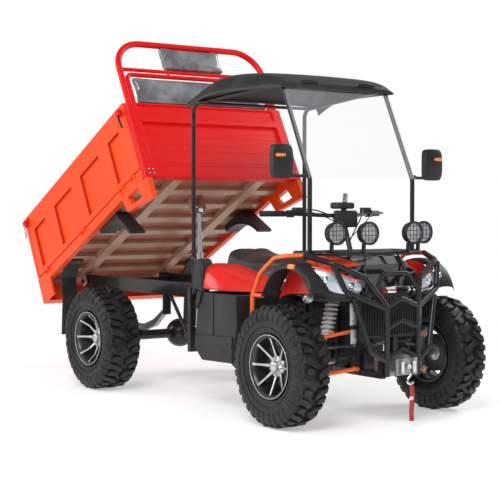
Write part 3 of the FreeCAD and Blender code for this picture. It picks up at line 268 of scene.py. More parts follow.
ORANGE = finish_material("orange_paint", (0.93, 0.074, 0.008), 0.36, coat=0.08, dust_amount=0.03,
                         dust=(0.8, 0.25, 0.16), specular=0.22)
# a darker orange painted on as shade in the drop sides' recesses
RECESS_SHADE = finish_material("painted_recess_shade", (0.50, 0.018, 0.006), 0.4, dust_amount=0.05, specular=0.3)
RED = finish_material("red_paint", (0.76, 0.002, 0.003), 0.36, coat=0.08, dust_amount=0.10,
                      dust=(0.7, 0.06, 0.05), specular=0.22)
RED_PLATE = finish_material("red_tread_plate", (0.76, 0.002, 0.003), 0.36, coat=0.08,
                            dust_amount=0.1, dust=(0.7, 0.06, 0.05), specular=0.22,
                            plate=(math.pi / 2, 0, math.pi / 2))
UNDER = finish_material("underside", (0.46, 0.26, 0.18), 0.36, metallic=0.15, dust_amount=0.5,
                        dust=(0.64, 0.43, 0.33), coat=0.2, dust_scale=3.0)
BLACK = finish_material("black_paint", (0.008, 0.009, 0.011), 0.28, coat=0.2, dust_amount=0.05,
                        specular=0.35)
PLASTIC = finish_material("black_plastic", (0.013, 0.0135, 0.015), 0.42, dust_amount=0.07,
                          bump=0.25, specular=0.35)
RED_PLASTIC = finish_material("red_plastic", (0.84, 0.010, 0.006), 0.30, coat=0.2,
                              dust_amount=0.06, dust=(0.8, 0.2, 0.12))
STRIPE = finish_material("stripe_orange", (0.93, 0.062, 0.014), 0.25, coat=0.8, dust_amount=0.05,
                         dust=(0.9, 0.3, 0.2))
GLOSS = finish_material("gloss_black", (0.010, 0.011, 0.014), 0.14, coat=0.8, dust_amount=0.06)
GUNMETAL = finish_material("gunmetal", (0.035, 0.036, 0.040), 0.28, metallic=0.6,
                           dust_amount=0.15)
RUBBER = finish_material("tyre_rubber", (0.011, 0.011, 0.012), 0.46, dust_amount=0.22,
                         dust=(0.08, 0.078, 0.075), bump=0.3, dust_scale=9.0, specular=0.35)
SILVER = finish_material("cast_silver", (0.62, 0.62, 0.63), 0.3, metallic=0.75,
                         dust_amount=0.15)
STEEL = finish_material("steel", (0.42, 0.42, 0.43), 0.35, metallic=0.9, dust_amount=0.2)
CHROME = finish_material("chrome", (0.80, 0.80, 0.81), 0.09, metallic=1.0, dust_amount=0.05,
                         bump=0.01)
IRON = finish_material("cast_iron", (0.055, 0.055, 0.056), 0.6, metallic=0.3, dust_amount=0.35)
WHITE = finish_material("white_paint", (0.75, 0.75, 0.75), 0.3, dust_amount=0.12)
GUARD = finish_material("guard_orange", (0.92, 0.13, 0.008), 0.3, coat=0.2, dust_amount=0.06,
                        dust=(0.8, 0.4, 0.2))
VINYL = finish_material("seat_vinyl", (0.024, 0.025, 0.027), 0.36, dust_amount=0.12, bump=0.35,
                        grain=260.0)
WRAPPED = finish_material("wrapped_vinyl", (0.11, 0.112, 0.12), 0.16, coat=1.0,
                          dust=(0.42, 0.43, 0.46), dust_amount=0.6, dust_scale=5.0, bump=0.5,
                          grain=28.0)
FINS = finish_material("fin_black", (0.03, 0.03, 0.032), 0.45, metallic=0.5, dust_amount=0.2)
STRAP = finish_material("strap_red", (0.42, 0.02, 0.02), 0.7, dust_amount=0.15, bump=0.6,
                        grain=900.0)
RAM_RED = finish_material("ram_red", (0.42, 0.012, 0.012), 0.4, coat=0.3, dust_amount=0.3)
BLUE = finish_material("blue_bottle", (0.01, 0.12, 0.55), 0.2, coat=0.5, dust_amount=0.05)
AMBER = finish_material("amber_lens", (0.9, 0.25, 0.02), 0.12, coat=1.0, dust_amount=0.02,
                        bump=0.02)
SCREEN = glass_material("clear_screen", (0.80, 0.87, 0.89), 0.11)
LENS = finish_material("lamp_glass", (0.52, 0.58, 0.66), 0.12, metallic=0.5, coat=1.0,
                       dust=(0.85, 0.9, 0.95), dust_amount=0.7, dust_scale=22.0, bump=0.7,
                       grain=70.0)
FROST = finish_material("lamp_reflector", (0.62, 0.63, 0.65), 0.3, metallic=0.35, coat=0.6,
                        dust=(0.25, 0.26, 0.28), dust_amount=0.5, dust_scale=18.0)

NODE_FINISH = {
    "main_frame": BLACK, "rear_chassis": BLACK, "engine_block": IRON, "front_gearbox": IRON,
    "front_cowl": GLOSS, "front_flares": PLASTIC, "headlights": LENS, "seat": VINYL,
    "rear_fenders": PLASTIC, "footwells": PLASTIC, "front_bumper": BLACK, "side_guards": GUARD,
    "front_rack": BLACK, "radiator": FINS, "winch": STEEL, "winch_hook": CHROME,
    "winch_strap": STRAP, "canopy_frame": BLACK, "roof": PLASTIC, "windscreen": SCREEN,
    "mirrors": PLASTIC, "spot_lamps": PLASTIC, "suspension_arms": GUARD, "front_shocks": WHITE,
    "half_shafts": RUBBER, "rear_axle": BLACK, "leaf_springs": STEEL, "handlebar": BLACK,
    "bar_controls": PLASTIC, "knuckle_right": STEEL, "knuckle_left": STEEL,
    "tie_rod_right": STEEL, "tie_rod_left": STEEL, "bed_floor": UNDER, "bed_skirts": ORANGE,
    "headboard": RED_PLATE, "hoop_rack": RED, "backrest_lower": WRAPPED,
    "backrest_upper": WRAPPED, "bed_mudguards": PLASTIC, "drop_side_right": ORANGE,
    "drop_side_left": ORANGE, "tailgate": ORANGE, "ram_barrel": RAM_RED, "ram_stage_1": CHROME,
    "ram_stage_2": CHROME,
}


def shade_between_ribs(material, panel, height):
    """Paint shade, tinted with reflected red, onto the floor plate above the ribs, by height in the
    bed's own frame.
    """
    tree = material.node_tree
    shader = tree.nodes["Principled BSDF"]
    place = node(tree, "ShaderNodeTexCoord")
    upward = BED.to_3x3() @ Vector((0, 0, 1))
    along = tree.nodes.new("ShaderNodeVectorMath")
    along.operation = "DOT_PRODUCT"
    tree.links.new(place.outputs["Object"], along.inputs[0])
    along.inputs[1].default_value = upward
    rise = math_node(tree, "SUBTRACT", along.outputs["Value"], HINGE.dot(upward))
    above = math_node(tree, "GREATER_THAN", rise, height)
    rough = node(tree, "ShaderNodeTexNoise", Scale=4.0, Detail=3.0)
    tree.links.new(place.outputs["Object"], rough.inputs["Vector"])
    # noise breaks up the painted shade
    share = math_node(tree, "MULTIPLY", above, math_node(tree, "ADD", rough.outputs[0], 0.28))
    ribs = shader.inputs["Base Color"].links[0].from_socket
    tree.links.new(mix_colour(tree, share, ribs, panel), shader.inputs["Base Color"])


def finish_nodes():
    for name, item in NODES.items():
        material = NODE_FINISH.get(name)
        if material is None:
            material = RUBBER if name.startswith("tyre") else SILVER
        for slot in item.material_slots:
            slot.material = material


# ------------------------------------------------------------------ mesh helpers

def add_object(name, mesh, material, smooth=False):
    item = bpy.data.objects.new(name, mesh)
    bpy.context.scene.collection.objects.link(item)
    mesh.materials.append(material)
    if smooth:
        for face in mesh.polygons:
            face.use_smooth = True
    return item


def from_faces(name, points, faces, material, smooth=False):
    mesh = bpy.data.meshes.new(name)
    mesh.from_pydata([tuple(p) for p in points], [], faces)
    mesh.update()
    return add_object(name, mesh, material, smooth)


def tidy_normals(mesh):
    work = bmesh.new()
    work.from_mesh(mesh)
    bmesh.ops.remove_doubles(work, verts=work.verts, dist=1e-5)
    bmesh.ops.recalc_face_normals(work, faces=work.faces)
    work.to_mesh(mesh)
    work.free()


def joined(name, items):
    """One object from several, keeping each face's material."""
    mesh = bpy.data.meshes.new(name)
    work = bmesh.new()
    slots = []
    for item in items:
        source = item.data
        offset = len(slots)
        slots.extend(source.materials)
        before = len(work.faces)
        work.from_mesh(source)
        work.faces.ensure_lookup_table()
        for face in work.faces[before:]:
            face.material_index += offset
        bpy.data.objects.remove(item)
    work.to_mesh(mesh)
    work.free()
    for material in slots:
        mesh.materials.append(material)
    item = bpy.data.objects.new(name, mesh)
    bpy.context.scene.collection.objects.link(item)
    return item


def applied(item):
    """Replace an object's mesh with its evaluated one and clear its modifiers."""
    graph = bpy.context.evaluated_depsgraph_get()
    mesh = bpy.data.meshes.new_from_object(item.evaluated_get(graph))
    item.modifiers.clear()
    item.data = mesh
    return item


def smoothed(item, levels=2):
    """Round an object off by subdivision."""
    smooth = item.modifiers.new("smooth", "SUBSURF")
    smooth.levels = smooth.render_levels = levels
    return applied(item)


def walled(item, thickness, offset=0):
    """Give an open sheet a wall; applied together with what comes next."""
    wall = item.modifiers.new("wall", "SOLIDIFY")
    wall.thickness = thickness
    wall.offset = offset
    return item


def edged(item, width, angle):
    """Round an object's edges that are sharper than an angle in degrees."""
    edge = item.modifiers.new("edge", "BEVEL")
    edge.width = width
    edge.segments = 3
    edge.limit_method = "ANGLE"
    edge.angle_limit = math.radians(angle)
    edge.harden_normals = True
    return applied(item)


def grid_faces(rows, wide):
    """Quads between rows of points, each row as many points long as wide says."""
    return [(wide * r + k, wide * r + k + 1, wide * r + wide + k + 1, wide * r + wide + k)
            for r in range(rows - 1) for k in range(wide - 1)]


def shell(name, points, wide, material, thickness=0.006, offset=0):
    """A smooth moulded wall through rows of points."""
    item = from_faces(name, points, grid_faces(len(points) // wide, wide), material, True)
    tidy_normals(item.data)
    return smoothed(walled(item, thickness, offset))


def prism(name, points, material, smooth=False):
    """A closed block; the first half of the points is one end, the second half the other."""
    size = len(points) // 2
    faces = [tuple(range(size)), tuple(range(size, 2 * size))]
    faces += [(k, (k + 1) % size, size + (k + 1) % size, size + k) for k in range(size)]
    item = from_faces(name, points, faces, material, smooth)
    tidy_normals(item.data)
    return item


def moulded(name, cuts, move, material):
    """A finely cut cube with each corner moved by move(x, y, z)."""
    work = bmesh.new()
    bmesh.ops.create_cube(work, size=2)
    bmesh.ops.subdivide_edges(work, edges=work.edges[:], cuts=cuts, use_grid_fill=True)
    for vertex in work.verts:
        vertex.co = move(*vertex.co)
    mesh = bpy.data.meshes.new(name)
    work.to_mesh(mesh)
    work.free()
    return add_object(name, mesh, material, True)


def forward(item, place):
    """Turn a piece made round Y to face forward, and move it to its place."""
    item.data.transform(Matrix.Translation(place) @ Matrix.Rotation(-math.pi / 2, 4, "Z"))
    return item


def placed(item, body, stands_for=None):
    """Tie a finished piece to its body and hide the node that it stands for."""
    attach(item, body)
    if stands_for:
        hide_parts(stands_for)
    return item


def at(x, y, z):
    """A point, given ahead of the front axle."""
    return (FRONT_X + x, y, z)


def puffed(pad, cell, cap, fixed):
    """Swell a closed pad with a cloth simulation; points where fixed(point) is true stay put."""
    grid = pad.modifiers.new("grid", "REMESH")
    grid.mode = "VOXEL"
    grid.voxel_size = cell
    applied(pad)
    start = [vertex.co.copy() for vertex in pad.data.vertices]
    held = pad.vertex_groups.new(name="held")
    held.add([index for index, point in enumerate(start) if fixed(point)], 1.0, "REPLACE")
    cloth = pad.modifiers.new("cloth", "CLOTH")
    cloth.settings.use_pressure = True
    cloth.settings.uniform_pressure_force = PUFF_PRESSURE
    cloth.settings.effector_weights.gravity = 0
    cloth.settings.vertex_group_mass = held.name
    for frame_number in range(1, PUFF_FRAMES + 1):
        bpy.context.scene.frame_set(frame_number)
    applied(pad)
    bpy.context.scene.frame_set(1)
    pad.vertex_groups.clear()
    for vertex, before in zip(pad.data.vertices, start):
        move = vertex.co - before
        if move.length > cap:
            vertex.co = before + move * (cap / move.length)
    for face in pad.data.polygons:
        face.use_smooth = True
    return smoothed(pad, 1)


def lathe(name, profile, material, steps=64, smooth=True):
    """Turn (radius, along) points round the Y axis; a closed profile gives a closed ring."""
    points = []
    for index in range(steps):
        angle = 2 * math.pi * index / steps
        for radius, along in profile:
            points.append((radius * math.cos(angle), along, radius * math.sin(angle)))
    count = len(profile)
    faces = []
    for index in range(steps):
        ahead = (index + 1) % steps
        for place in range(count):
            after = (place + 1) % count
            faces.append((index * count + place, index * count + after,
                          ahead * count + after, ahead * count + place))
    item = from_faces(name, points, faces, material, smooth)
    tidy_normals(item.data)
    return item


def pipe(name, points, radius, material, sides=10, bend=True):
    """A round bar through points, as a mesh."""
    curve = bpy.data.curves.new(name, "CURVE")
    curve.dimensions = "3D"
    curve.bevel_depth = radius
    curve.bevel_resolution = max(1, sides // 4)
    curve.use_fill_caps = True
    spline = curve.splines.new("NURBS" if bend else "POLY")
    spline.points.add(len(points) - 1)
    for slot, point in zip(spline.points, points):
        slot.co = (*point, 1)
    if bend:
        spline.order_u = 3
        spline.use_endpoint_u = True
    curve.resolution_u = 8
    probe = bpy.data.objects.new(name, curve)
    bpy.context.scene.collection.objects.link(probe)
    graph = bpy.context.evaluated_depsgraph_get()
    mesh = bpy.data.meshes.new_from_object(probe.evaluated_get(graph))
    bpy.data.objects.remove(probe)
    return add_object(name, mesh, material, True)


def rod(name, start, end, radius, material, sides=10):
    """A straight round bar."""
    return pipe(name, [start, end], radius, material, sides, False)


def rounded_box(name, low, high, material, bevel=0.006, segments=3):
    work = bmesh.new()
    bmesh.ops.create_cube(work, size=1)
    low, high = Vector(low), Vector(high)
    for vertex in work.verts:
        vertex.co = Vector((low[k] + (vertex.co[k] + 0.5) * (high[k] - low[k])
                            for k in range(3)))
    bmesh.ops.bevel(work, geom=work.edges[:], offset=bevel, segments=segments, affect="EDGES",
                    profile=0.5)
    mesh = bpy.data.meshes.new(name)
    work.to_mesh(mesh)
    work.free()
    return add_object(name, mesh, material, True)


def side_box(name, sign, x, y, z, material, bevel):
    """A rounded box on one side: x ahead of the front axle, y outward, z up, each from and to."""
    near, far = sorted((sign * y[0], sign * y[1]))
    return rounded_box(name, at(x[0], near, z[0]), at(x[1], far, z[1]), material, bevel)


def ring_tree():
    """Geometry nodes: copies of the input mesh turned round the Y axis."""
    tree = bpy.data.node_groups.new("ring_of_copies", "GeometryNodeTree")
    tree.interface.new_socket("Geometry", in_out="INPUT", socket_type="NodeSocketGeometry")
    tree.interface.new_socket("Count", in_out="INPUT", socket_type="NodeSocketInt")
    tree.interface.new_socket("Material", in_out="INPUT", socket_type="NodeSocketMaterial")
    tree.interface.new_socket("Geometry", in_out="OUTPUT", socket_type="NodeSocketGeometry")
    start = tree.nodes.new("NodeGroupInput")
    end = tree.nodes.new("NodeGroupOutput")
    points = tree.nodes.new("GeometryNodePoints")
    tree.links.new(start.outputs["Count"], points.inputs["Count"])
    index = tree.nodes.new("GeometryNodeInputIndex")
    step = math_node(tree, "DIVIDE", 2 * math.pi, start.outputs["Count"])
    angle = math_node(tree, "MULTIPLY", index.outputs[0], step)
    turn = tree.nodes.new("ShaderNodeCombineXYZ")
    tree.links.new(angle, turn.inputs["Y"])
    copies = tree.nodes.new("GeometryNodeInstanceOnPoints")
    tree.links.new(points.outputs[0], copies.inputs["Points"])
    tree.links.new(start.outputs["Geometry"], copies.inputs["Instance"])
    tree.links.new(turn.outputs[0], copies.inputs["Rotation"])
    real = tree.nodes.new("GeometryNodeRealizeInstances")
    tree.links.new(copies.outputs[0], real.inputs[0])
    paint = tree.nodes.new("GeometryNodeSetMaterial")
    tree.links.new(real.outputs[0], paint.inputs["Geometry"])
    tree.links.new(start.outputs["Material"], paint.inputs["Material"])
    tree.links.new(paint.outputs[0], end.inputs[0])
    return tree


RING = ring_tree()


def ring_of(item, count, material):
    """Copies of an object round the Y axis, as one plain mesh."""
    modifier = item.modifiers.new("ring", "NODES")
    modifier.node_group = RING
    for socket in RING.interface.items_tree:
        if socket.in_out == "INPUT" and socket.name == "Count":
            modifier[socket.identifier] = count
        if socket.in_out == "INPUT" and socket.name == "Material":
            modifier[socket.identifier] = material
    return applied(item)


# ------------------------------------------------------------------ wheels

TREAD_PITCHES = 18
LUG_HEIGHT = 0.021
BEAD_RADIUS = 0.1535
LIP_RADIUS = 0.168
RIM_RADIUS = 0.1655
SPOKES = 8


def tyre_profile(outer, half, bead, lip):
    """The section of a tyre from bead to bead, outside then inside."""
    side = [(bead, half * 0.66), (lip, half * 0.72), (lip + 0.014, half * 0.88),
            (lip + 0.040, half * 0.965), (lip + 0.075, half * 0.985),
            (outer - 0.050, half * 0.965), (outer - 0.030, half * 0.90),
            (outer - 0.020, half * 0.80), (outer - LUG_HEIGHT, half * 0.55),
            (outer - LUG_HEIGHT, 0)]
    inner = [(outer - 0.030, 0), (outer - 0.036, half * 0.6), (lip + 0.05, half * 0.84),
             (bead, half * 0.5)]
    whole = side + [(r, -a) for r, a in side[-2::-1]]
    return whole + [(r, -a) for r, a in inner[::-1]] + inner[1:]


def tread_block(name, outline, outer, half):
    """A block over the tread: (distance round, place across) corners, raised from the casing."""
    points = []
    for lift, shrink in ((-0.006, 1.06), (LUG_HEIGHT, 0.88)):
        centre = Vector((sum(p[0] for p in outline), sum(p[1] for p in outline))) / len(outline)
        for along, across in outline:
            spot = centre + (Vector((along, across)) - centre) * shrink
            share = min(abs(spot.y) / half, 1.0)
            fall = 0.050 * max(0.0, (share - 0.72) / 0.28) ** 1.8
            radius = outer - LUG_HEIGHT - fall + lift
            angle = spot.x / outer
            points.append((radius * math.sin(angle), spot.y, radius * math.cos(angle)))
    return prism(name, points, RUBBER)


def tread(outer, half, hand):
    """One pitch of a chevron tread: two bent bars, two wedges and two shoulder blocks."""
    pitch = 2 * math.pi * outer / TREAD_PITCHES
    blocks = []
    for side in (-1, 1):
        shift = 0.25 * pitch * side
        bar_lug = [(shift - 0.020, 0.03 * half), (shift + 0.016, 0.03 * half),
                   (shift + 0.046, 0.46 * half), (shift + 0.058, 0.86 * half),
                   (shift + 0.022, 0.88 * half), (shift + 0.008, 0.50 * half)]
        shoulder = [(shift + 0.024, 0.91 * half), (shift + 0.060, 0.90 * half),
                    (shift + 0.054, 1.02 * half), (shift + 0.018, 1.02 * half)]
        wedge = [(shift - 0.044, 0.30 * half), (shift - 0.016, 0.24 * half),
                 (shift - 0.002, 0.56 * half), (shift - 0.012, 0.78 * half),
                 (shift - 0.036, 0.76 * half)]
        cleat = [(shift - 0.040, 0.82 * half), (shift - 0.004, 0.84 * half),
                 (shift - 0.008, 1.01 * half), (shift - 0.038, 1.01 * half)]
        for number, outline in enumerate((bar_lug, shoulder, wedge, cleat)):
            turned = [(x * hand, y * side) for x, y in outline]
            blocks.append(tread_block("block_%d_%d" % (side, number), turned, outer, half))
    return joined("tread", blocks)


def wheels():
    for end in ("front", "rear"):
        for side, sign in SIDES:
            name = "%s_%s" % (end, side)
            low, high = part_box("tyre_" + name)
            centre = (low + high) / 2
            outer = (high.z - low.z) / 2
            half = (high.y - low.y) / 2
            casing = lathe("casing", tyre_profile(outer, half, BEAD_RADIUS, LIP_RADIUS),
                           RUBBER, 96)
            blocks = ring_of(tread(outer, half, sign), TREAD_PITCHES, RUBBER)
            ribs = []
            for place, radius in ((0.990, 0.205), (0.992, 0.238)):
                for hand in (-1, 1):
                    ring = [(radius + 0.002, hand * half * place * 0.985),
                            (radius, hand * half * (place + 0.008)),
                            (radius - 0.002, hand * half * place * 0.985)]
                    ribs.append(lathe("rib", ring, RUBBER, 96))
            whole = joined("tyre_" + name + "_cover", [casing, blocks] + ribs)
            whole.data.transform(Matrix.Translation(centre))
            placed(whole, "wheel_" + name, "tyre_" + name)
            wheel_trim(name, sign, centre)


def spoke(sign, half):
    """One slim machined spoke, wide at the hub and narrow at the lip, with dark flanks."""
    stations = ((0.026, 0.0125, 0.030), (0.052, 0.0085, 0.034), (0.100, 0.0055, 0.052),
                (0.138, 0.0060, half - 0.012), (0.1475, 0.0078, half - 0.005))
    parts = []
    for grow, low, high, finish in ((0.0, -0.004, 0.0, SILVER),
                                    (0.0012, -0.020, -0.0035, GUNMETAL)):
        points = []
        for radius, wide, out in stations:
            for z, y in ((-wide - grow, out + low), (-wide - grow, out + high - 0.0015),
                         (-wide * 0.6, out + high), (wide * 0.6, out + high),
                         (wide + grow, out + high - 0.0015), (wide + grow, out + low)):
                points.append((radius, sign * y, z))
        rows = len(stations)
        faces = [tuple(range(6)), tuple(range(6 * rows - 6, 6 * rows))]
        faces += [(6 * r + k, 6 * r + (k + 1) % 6, 6 * r + 6 + (k + 1) % 6, 6 * r + 6 + k)
                  for r in range(rows - 1) for k in range(6)]
        part = from_faces("spoke", points, faces, finish)
        tidy_normals(part.data)
        parts.append(part)
    return parts


def wheel_trim(name, sign, centre):
    """The whole wheel in view: dark barrel and lips, eight machined spokes, hub, cap and nuts."""
    low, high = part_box("rim_" + name)
    half = (high.y - low.y) / 2
    barrel = lathe("barrel", [(RIM_RADIUS, sign * half), (RIM_RADIUS, sign * (half - 0.007)),
                              (0.1522, sign * (half - 0.009)), (0.1522, -sign * (half - 0.009)),
                              (RIM_RADIUS, -sign * (half - 0.007)), (RIM_RADIUS, -sign * half),
                              (0.1480, -sign * half), (0.1440, -sign * (half - 0.02)),
                              (0.1300, -sign * 0.010), (0.1400, sign * 0.010),
                              (0.1440, sign * (half - 0.034)), (0.1480, sign * (half - 0.006))],
                   GUNMETAL, 96)
    edge = lathe("edge", [(0.1665, sign * (half + 0.001)), (0.1640, sign * (half + 0.003)),
                          (0.1610, sign * (half + 0.001)), (0.1640, sign * (half - 0.002))],
                 SILVER, 96)
    drum = lathe("drum", [(0.0, sign * 0.006), (0.098, sign * 0.006), (0.104, 0.0),
                          (0.104, -sign * 0.020), (0.0, -sign * 0.020)], IRON, 64)
    hub = lathe("hub", [(0.0, -sign * 0.024), (0.042, -sign * 0.024), (0.058, -sign * 0.004),
                        (0.060, sign * 0.016), (0.052, sign * 0.030), (0.0, sign * 0.032)],
                SILVER, 64)
    cap = lathe("cap", [(0.0, sign * 0.058), (0.024, sign * 0.057), (0.029, sign * 0.052),
                        (0.030, sign * 0.028), (0.0, sign * 0.028)], SILVER, 48)
    nut = lathe("nut", [(0.0, 0.0), (0.0075, 0.0), (0.0075, sign * 0.012),
                        (0.005, sign * 0.015), (0.0, sign * 0.015)], GUNMETAL, 6, False)
    nut.data.transform(Matrix.Translation((0.043, sign * 0.029, 0)))
    nuts = ring_of(nut, 4, CHROME)
    spokes = [ring_of(part, SPOKES, part.data.materials[0]) for part in spoke(sign, half)]
    whole = joined("wheel_trim_" + name, [barrel, edge, drum, hub, cap, nuts] + spokes)
    whole.data.transform(Matrix.Translation(centre))
    placed(whole, "wheel_" + name, "rim_" + name)


# ------------------------------------------------------------------ canopy

def roof():
    """A smooth moulded shell through the roof's cross sections."""
    rows = ((-1.000, 0.490, 1.700, 0.470, 1.762), (-0.985, 0.488, 1.708, 0.460, 1.772),
            (-0.860, 0.475, 1.755, 0.430, 1.845), (-0.770, 0.463, 1.768, 0.400, 1.882),
            (-0.680, 0.450, 1.775, 0.385, 1.892), (-0.480, 0.430, 1.776, 0.380, 1.884),
            (-0.300, 0.410, 1.775, 0.375, 1.862), (-0.215, 0.398, 1.772, 0.372, 1.822),
            (-0.196, 0.396, 1.772, 0.368, 1.806))
    points = []
    for along, wide, edge, top_half, top in rows:
        half = [(wide, edge), (wide - 0.002, edge + 0.022),
                (top_half + 0.35 * (wide - top_half), top - 0.012 - 0.2 * (top - edge)),
                (top_half, top - 0.010), (top_half * 0.82, top - 0.003), (top_half * 0.5, top),
                (0, top + 0.002)]
        points.extend(at(along, y, z) for y, z in half + [(-y, z) for y, z in half[-2::-1]])
    # the front lip hangs down from the last row
    wide = len(points) // len(rows)
    points.extend((x - 0.002, y, max(rows[-1][2], z - 0.04)) for x, y, z in points[-wide:])
    items = [shell("roof_shell", points, wide, PLASTIC, 0.008, -1)]
    for _, sign in SIDES:
        items.append(side_box("vent", sign, (-0.205, -0.1925), (0.145, 0.255), (1.806, 1.822),
                              BLACK, 0.003))
    placed(joined("roof_cover", items), "chassis", "roof")


# ------------------------------------------------------------------ soft goods

def pad_shape(name, low, high, crown, material):
    """A crowned pad between two corners, in the bed's frame."""
    low, high = Vector(low), Vector(high)
    centre, half = (low + high) / 2, (high - low) / 2

    def crowned(x, y, z):
        edge = 1 - (abs(y) ** 6 + abs(z) ** 6) * 0.30
        swell = crown * (1 - y * y) ** 0.5 * (1 - z * z) ** 0.5 if abs(x) > 0.99 else 0
        pull = 1 - 0.03 * (1 - abs(z)) * (abs(y) > 0.99)
        return (centre.x + half.x * x * edge + math.copysign(swell, x),
                centre.y + half.y * y * pull, centre.z + half.z * z)

    return smoothed(moulded(name, 11, crowned, material))


def backrests():
    x = BED_FRONT + 0.022
    sizes = (("backrest_lower", 0.488, SEAM + 0.4375, SEAM + 0.626),
             ("backrest_upper", 0.226, SEAM + 0.702, SEAM + 0.8635))
    for name, half, low, high in sizes:
        pad = pad_shape(name + "_pad", (x - 0.024, -half, low), (x + 0.024, half, high), 0.006,
                        WRAPPED)
        puffed(pad, 0.006, 0.007, lambda point: point.x < x - 0.018)
        pad.data.transform(BED)
        placed(pad, "bed", name)


def seat():
    low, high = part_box("seat")
    centre, half = (low + high) / 2, (high - low) / 2

    def saddle(x, y, z):
        nose = 1 - 0.42 * max(0.0, (x - 0.15) / 0.85) ** 1.6
        top = max(0.0, z)
        sag = -0.018 * (1 - x * x) * top
        roll = 1 - 0.16 * top ** 3
        lift = 0.028 * max(0.0, -x) ** 3 * top
        return (centre.x + half.x * x * (1 - 0.03 * top ** 4),
                centre.y + half.y * y * nose * roll,
                centre.z + half.z * z + sag + lift - 0.012 * top * abs(y) ** 4)

    pad = smoothed(moulded("seat_pad", 13, saddle, VINYL))
    puffed(pad, 0.008, 0.008, lambda point: point.z < low.z + 0.012)
    placed(pad, "chassis", "seat")


# ------------------------------------------------------------------ lamps and front

def spot_lamp(centre, radius, depth):
    """One round lamp: bowl, thick bezel, reflector and a crossed wire guard."""
    bowl = lathe("bowl", [(0.0, -depth), (radius * 0.5, -depth * 0.96),
                          (radius * 0.86, -depth * 0.62), (radius * 0.97, -depth * 0.25),
                          (radius, -0.010), (radius, 0.003), (radius * 0.92, 0.005),
                          (radius * 0.86, 0.001), (radius * 0.85, -0.010), (0.0, -0.012)],
                 PLASTIC, 48)
    dish = lathe("dish", [(radius * 0.86, -0.002), (radius * 0.60, -0.005),
                          (radius * 0.30, -0.0075), (0.0, -0.008), (0.0, -0.011),
                          (radius * 0.86, -0.011)], FROST, 48)
    wires = []
    for place in (-0.56, -0.19, 0.19, 0.56):
        reach = radius * math.sqrt(1 - place * place) * 0.93
        across = place * radius
        for ends in (((-reach, 0.004, across), (reach, 0.004, across)),
                     ((across, 0.004, -reach), (across, 0.004, reach))):
            wires.append(rod("wire", *ends, 0.0016, BLACK, 6))
    return forward(joined("lamp", [bowl, dish] + wires), centre)


def spot_lamps():
    items = []
    for x, y in ((0.242, 0.155), (0.159, 0.302)):
        for _, sign in SIDES:
            items.append(spot_lamp(at(x, sign * y, 1.0), 0.0615, 0.068))
            items.append(side_box("stand", sign, (x - 0.058, x - 0.040), (y - 0.009, y + 0.009),
                                  (0.9023, 0.948), BLACK, 0.003))
    placed(joined("spot_lamp_set", items), "chassis", "spot_lamps")


def radiator_fins():
    low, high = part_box("radiator")
    fins = []
    count = 22
    for index in range(count):
        y = low.y + 0.012 + (high.y - low.y - 0.024) * index / (count - 1)
        fins.append(rounded_box("fin", (high.x - 0.001, y - 0.0035, low.z + 0.015),
                                (high.x + 0.007, y + 0.0035, high.z - 0.015), BLACK, 0.0015, 1))
    placed(joined("radiator_fins", fins), "chassis")


def coil_springs():
    """White coil-overs round the front dampers, with their rods, collars and top cups."""
    items = []
    turns, steps, coil_radius = 7, 12, 0.031
    for _, sign in SIDES:
        low, high = Vector(at(0, sign * 0.247, 0.468)), Vector(at(0, sign * 0.206, 0.632))
        run = high - low
        turn = run.to_track_quat("Z", "Y").to_matrix().to_4x4()
        points = []
        for step in range(turns * steps + 1):
            angle = 2 * math.pi * step / steps
            height = run.length * step / (turns * steps)
            points.append(low + turn @ Vector((coil_radius * math.cos(angle),
                                               coil_radius * math.sin(angle), height)))
        items.append(pipe("coil", points, 0.0072, WHITE, 8))
        for name, start, end, radius, finish, sides in (
                ("rod", -0.22, 1.08, 0.010, STEEL, 12), ("body", 0.02, 0.60, 0.021, WHITE, 16),
                ("cup", -0.05, 0.0, 0.030, WHITE, 20), ("cup", 1.01, 1.06, 0.036, WHITE, 20)):
            items.append(rod(name, low + run * start, low + run * end, radius, finish, sides))
    placed(joined("coil_springs", items), "chassis", "front_shocks")


# ------------------------------------------------------------------ bed details

def headboard_bolts():
    bolts = []
    for _, sign in SIDES:
        for step in (0.0, 0.030):
            for lift in (0.0, 0.028):
                bolt = lathe("bolt", [(0.0, 0.0), (0.007, 0.0), (0.006, 0.004), (0.0, 0.005)],
                             STEEL, 12)
                bolts.append(forward(bolt, (BED_FRONT + 0.0442, sign * (0.552 - step),
                                            SEAM - 0.058 + lift)))
    whole = joined("headboard_bolts", bolts)
    whole.data.transform(BED)
    placed(whole, "bed")


# ------------------------------------------------------------------ softened CAD shapes

SOFTENED = {
    "drop_side_right": 0.005, "drop_side_left": 0.005, "tailgate": 0.005, "bed_skirts": 0.004,
    "headboard": 0.005, "footwells": 0.014, "rear_chassis": 0.004,
    "main_frame": 0.004, "winch": 0.003, "leaf_springs": 0.003, "radiator": 0.003,
    "front_cowl": 0.016,
}


def softened(name, width):
    """A copy of a CAD shape with its sharp edges rounded."""
    mesh = NODES[name].data.copy()
    work = bmesh.new()
    work.from_mesh(mesh)
    bmesh.ops.remove_doubles(work, verts=work.verts, dist=1e-5)
    bmesh.ops.dissolve_limit(work, angle_limit=math.radians(1.0), verts=work.verts,
                             edges=work.edges, delimit={"NORMAL"})
    work.to_mesh(mesh)
    work.free()
    mesh.materials.clear()
    if mesh.has_custom_normals:
        mesh.attributes.remove(mesh.attributes["custom_normal"])
    item = add_object(name + "_pressing", mesh, NODE_FINISH[name], True)
    placed(edged(item, width, 35), NODES[name]["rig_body"], name)


def painted_cowl():
    """The nose: gloss black with an orange stripe along each shoulder."""
    nose = bpy.data.objects["front_cowl_pressing"]
    nose.data.materials.append(STRIPE)
    for face in nose.data.polygons:
        tall, sideways = face.normal.z, abs(face.normal.y)
        if sideways > 0.45 and tall > 0.25 and face.center.z > 0.74:
            face.material_index = 1


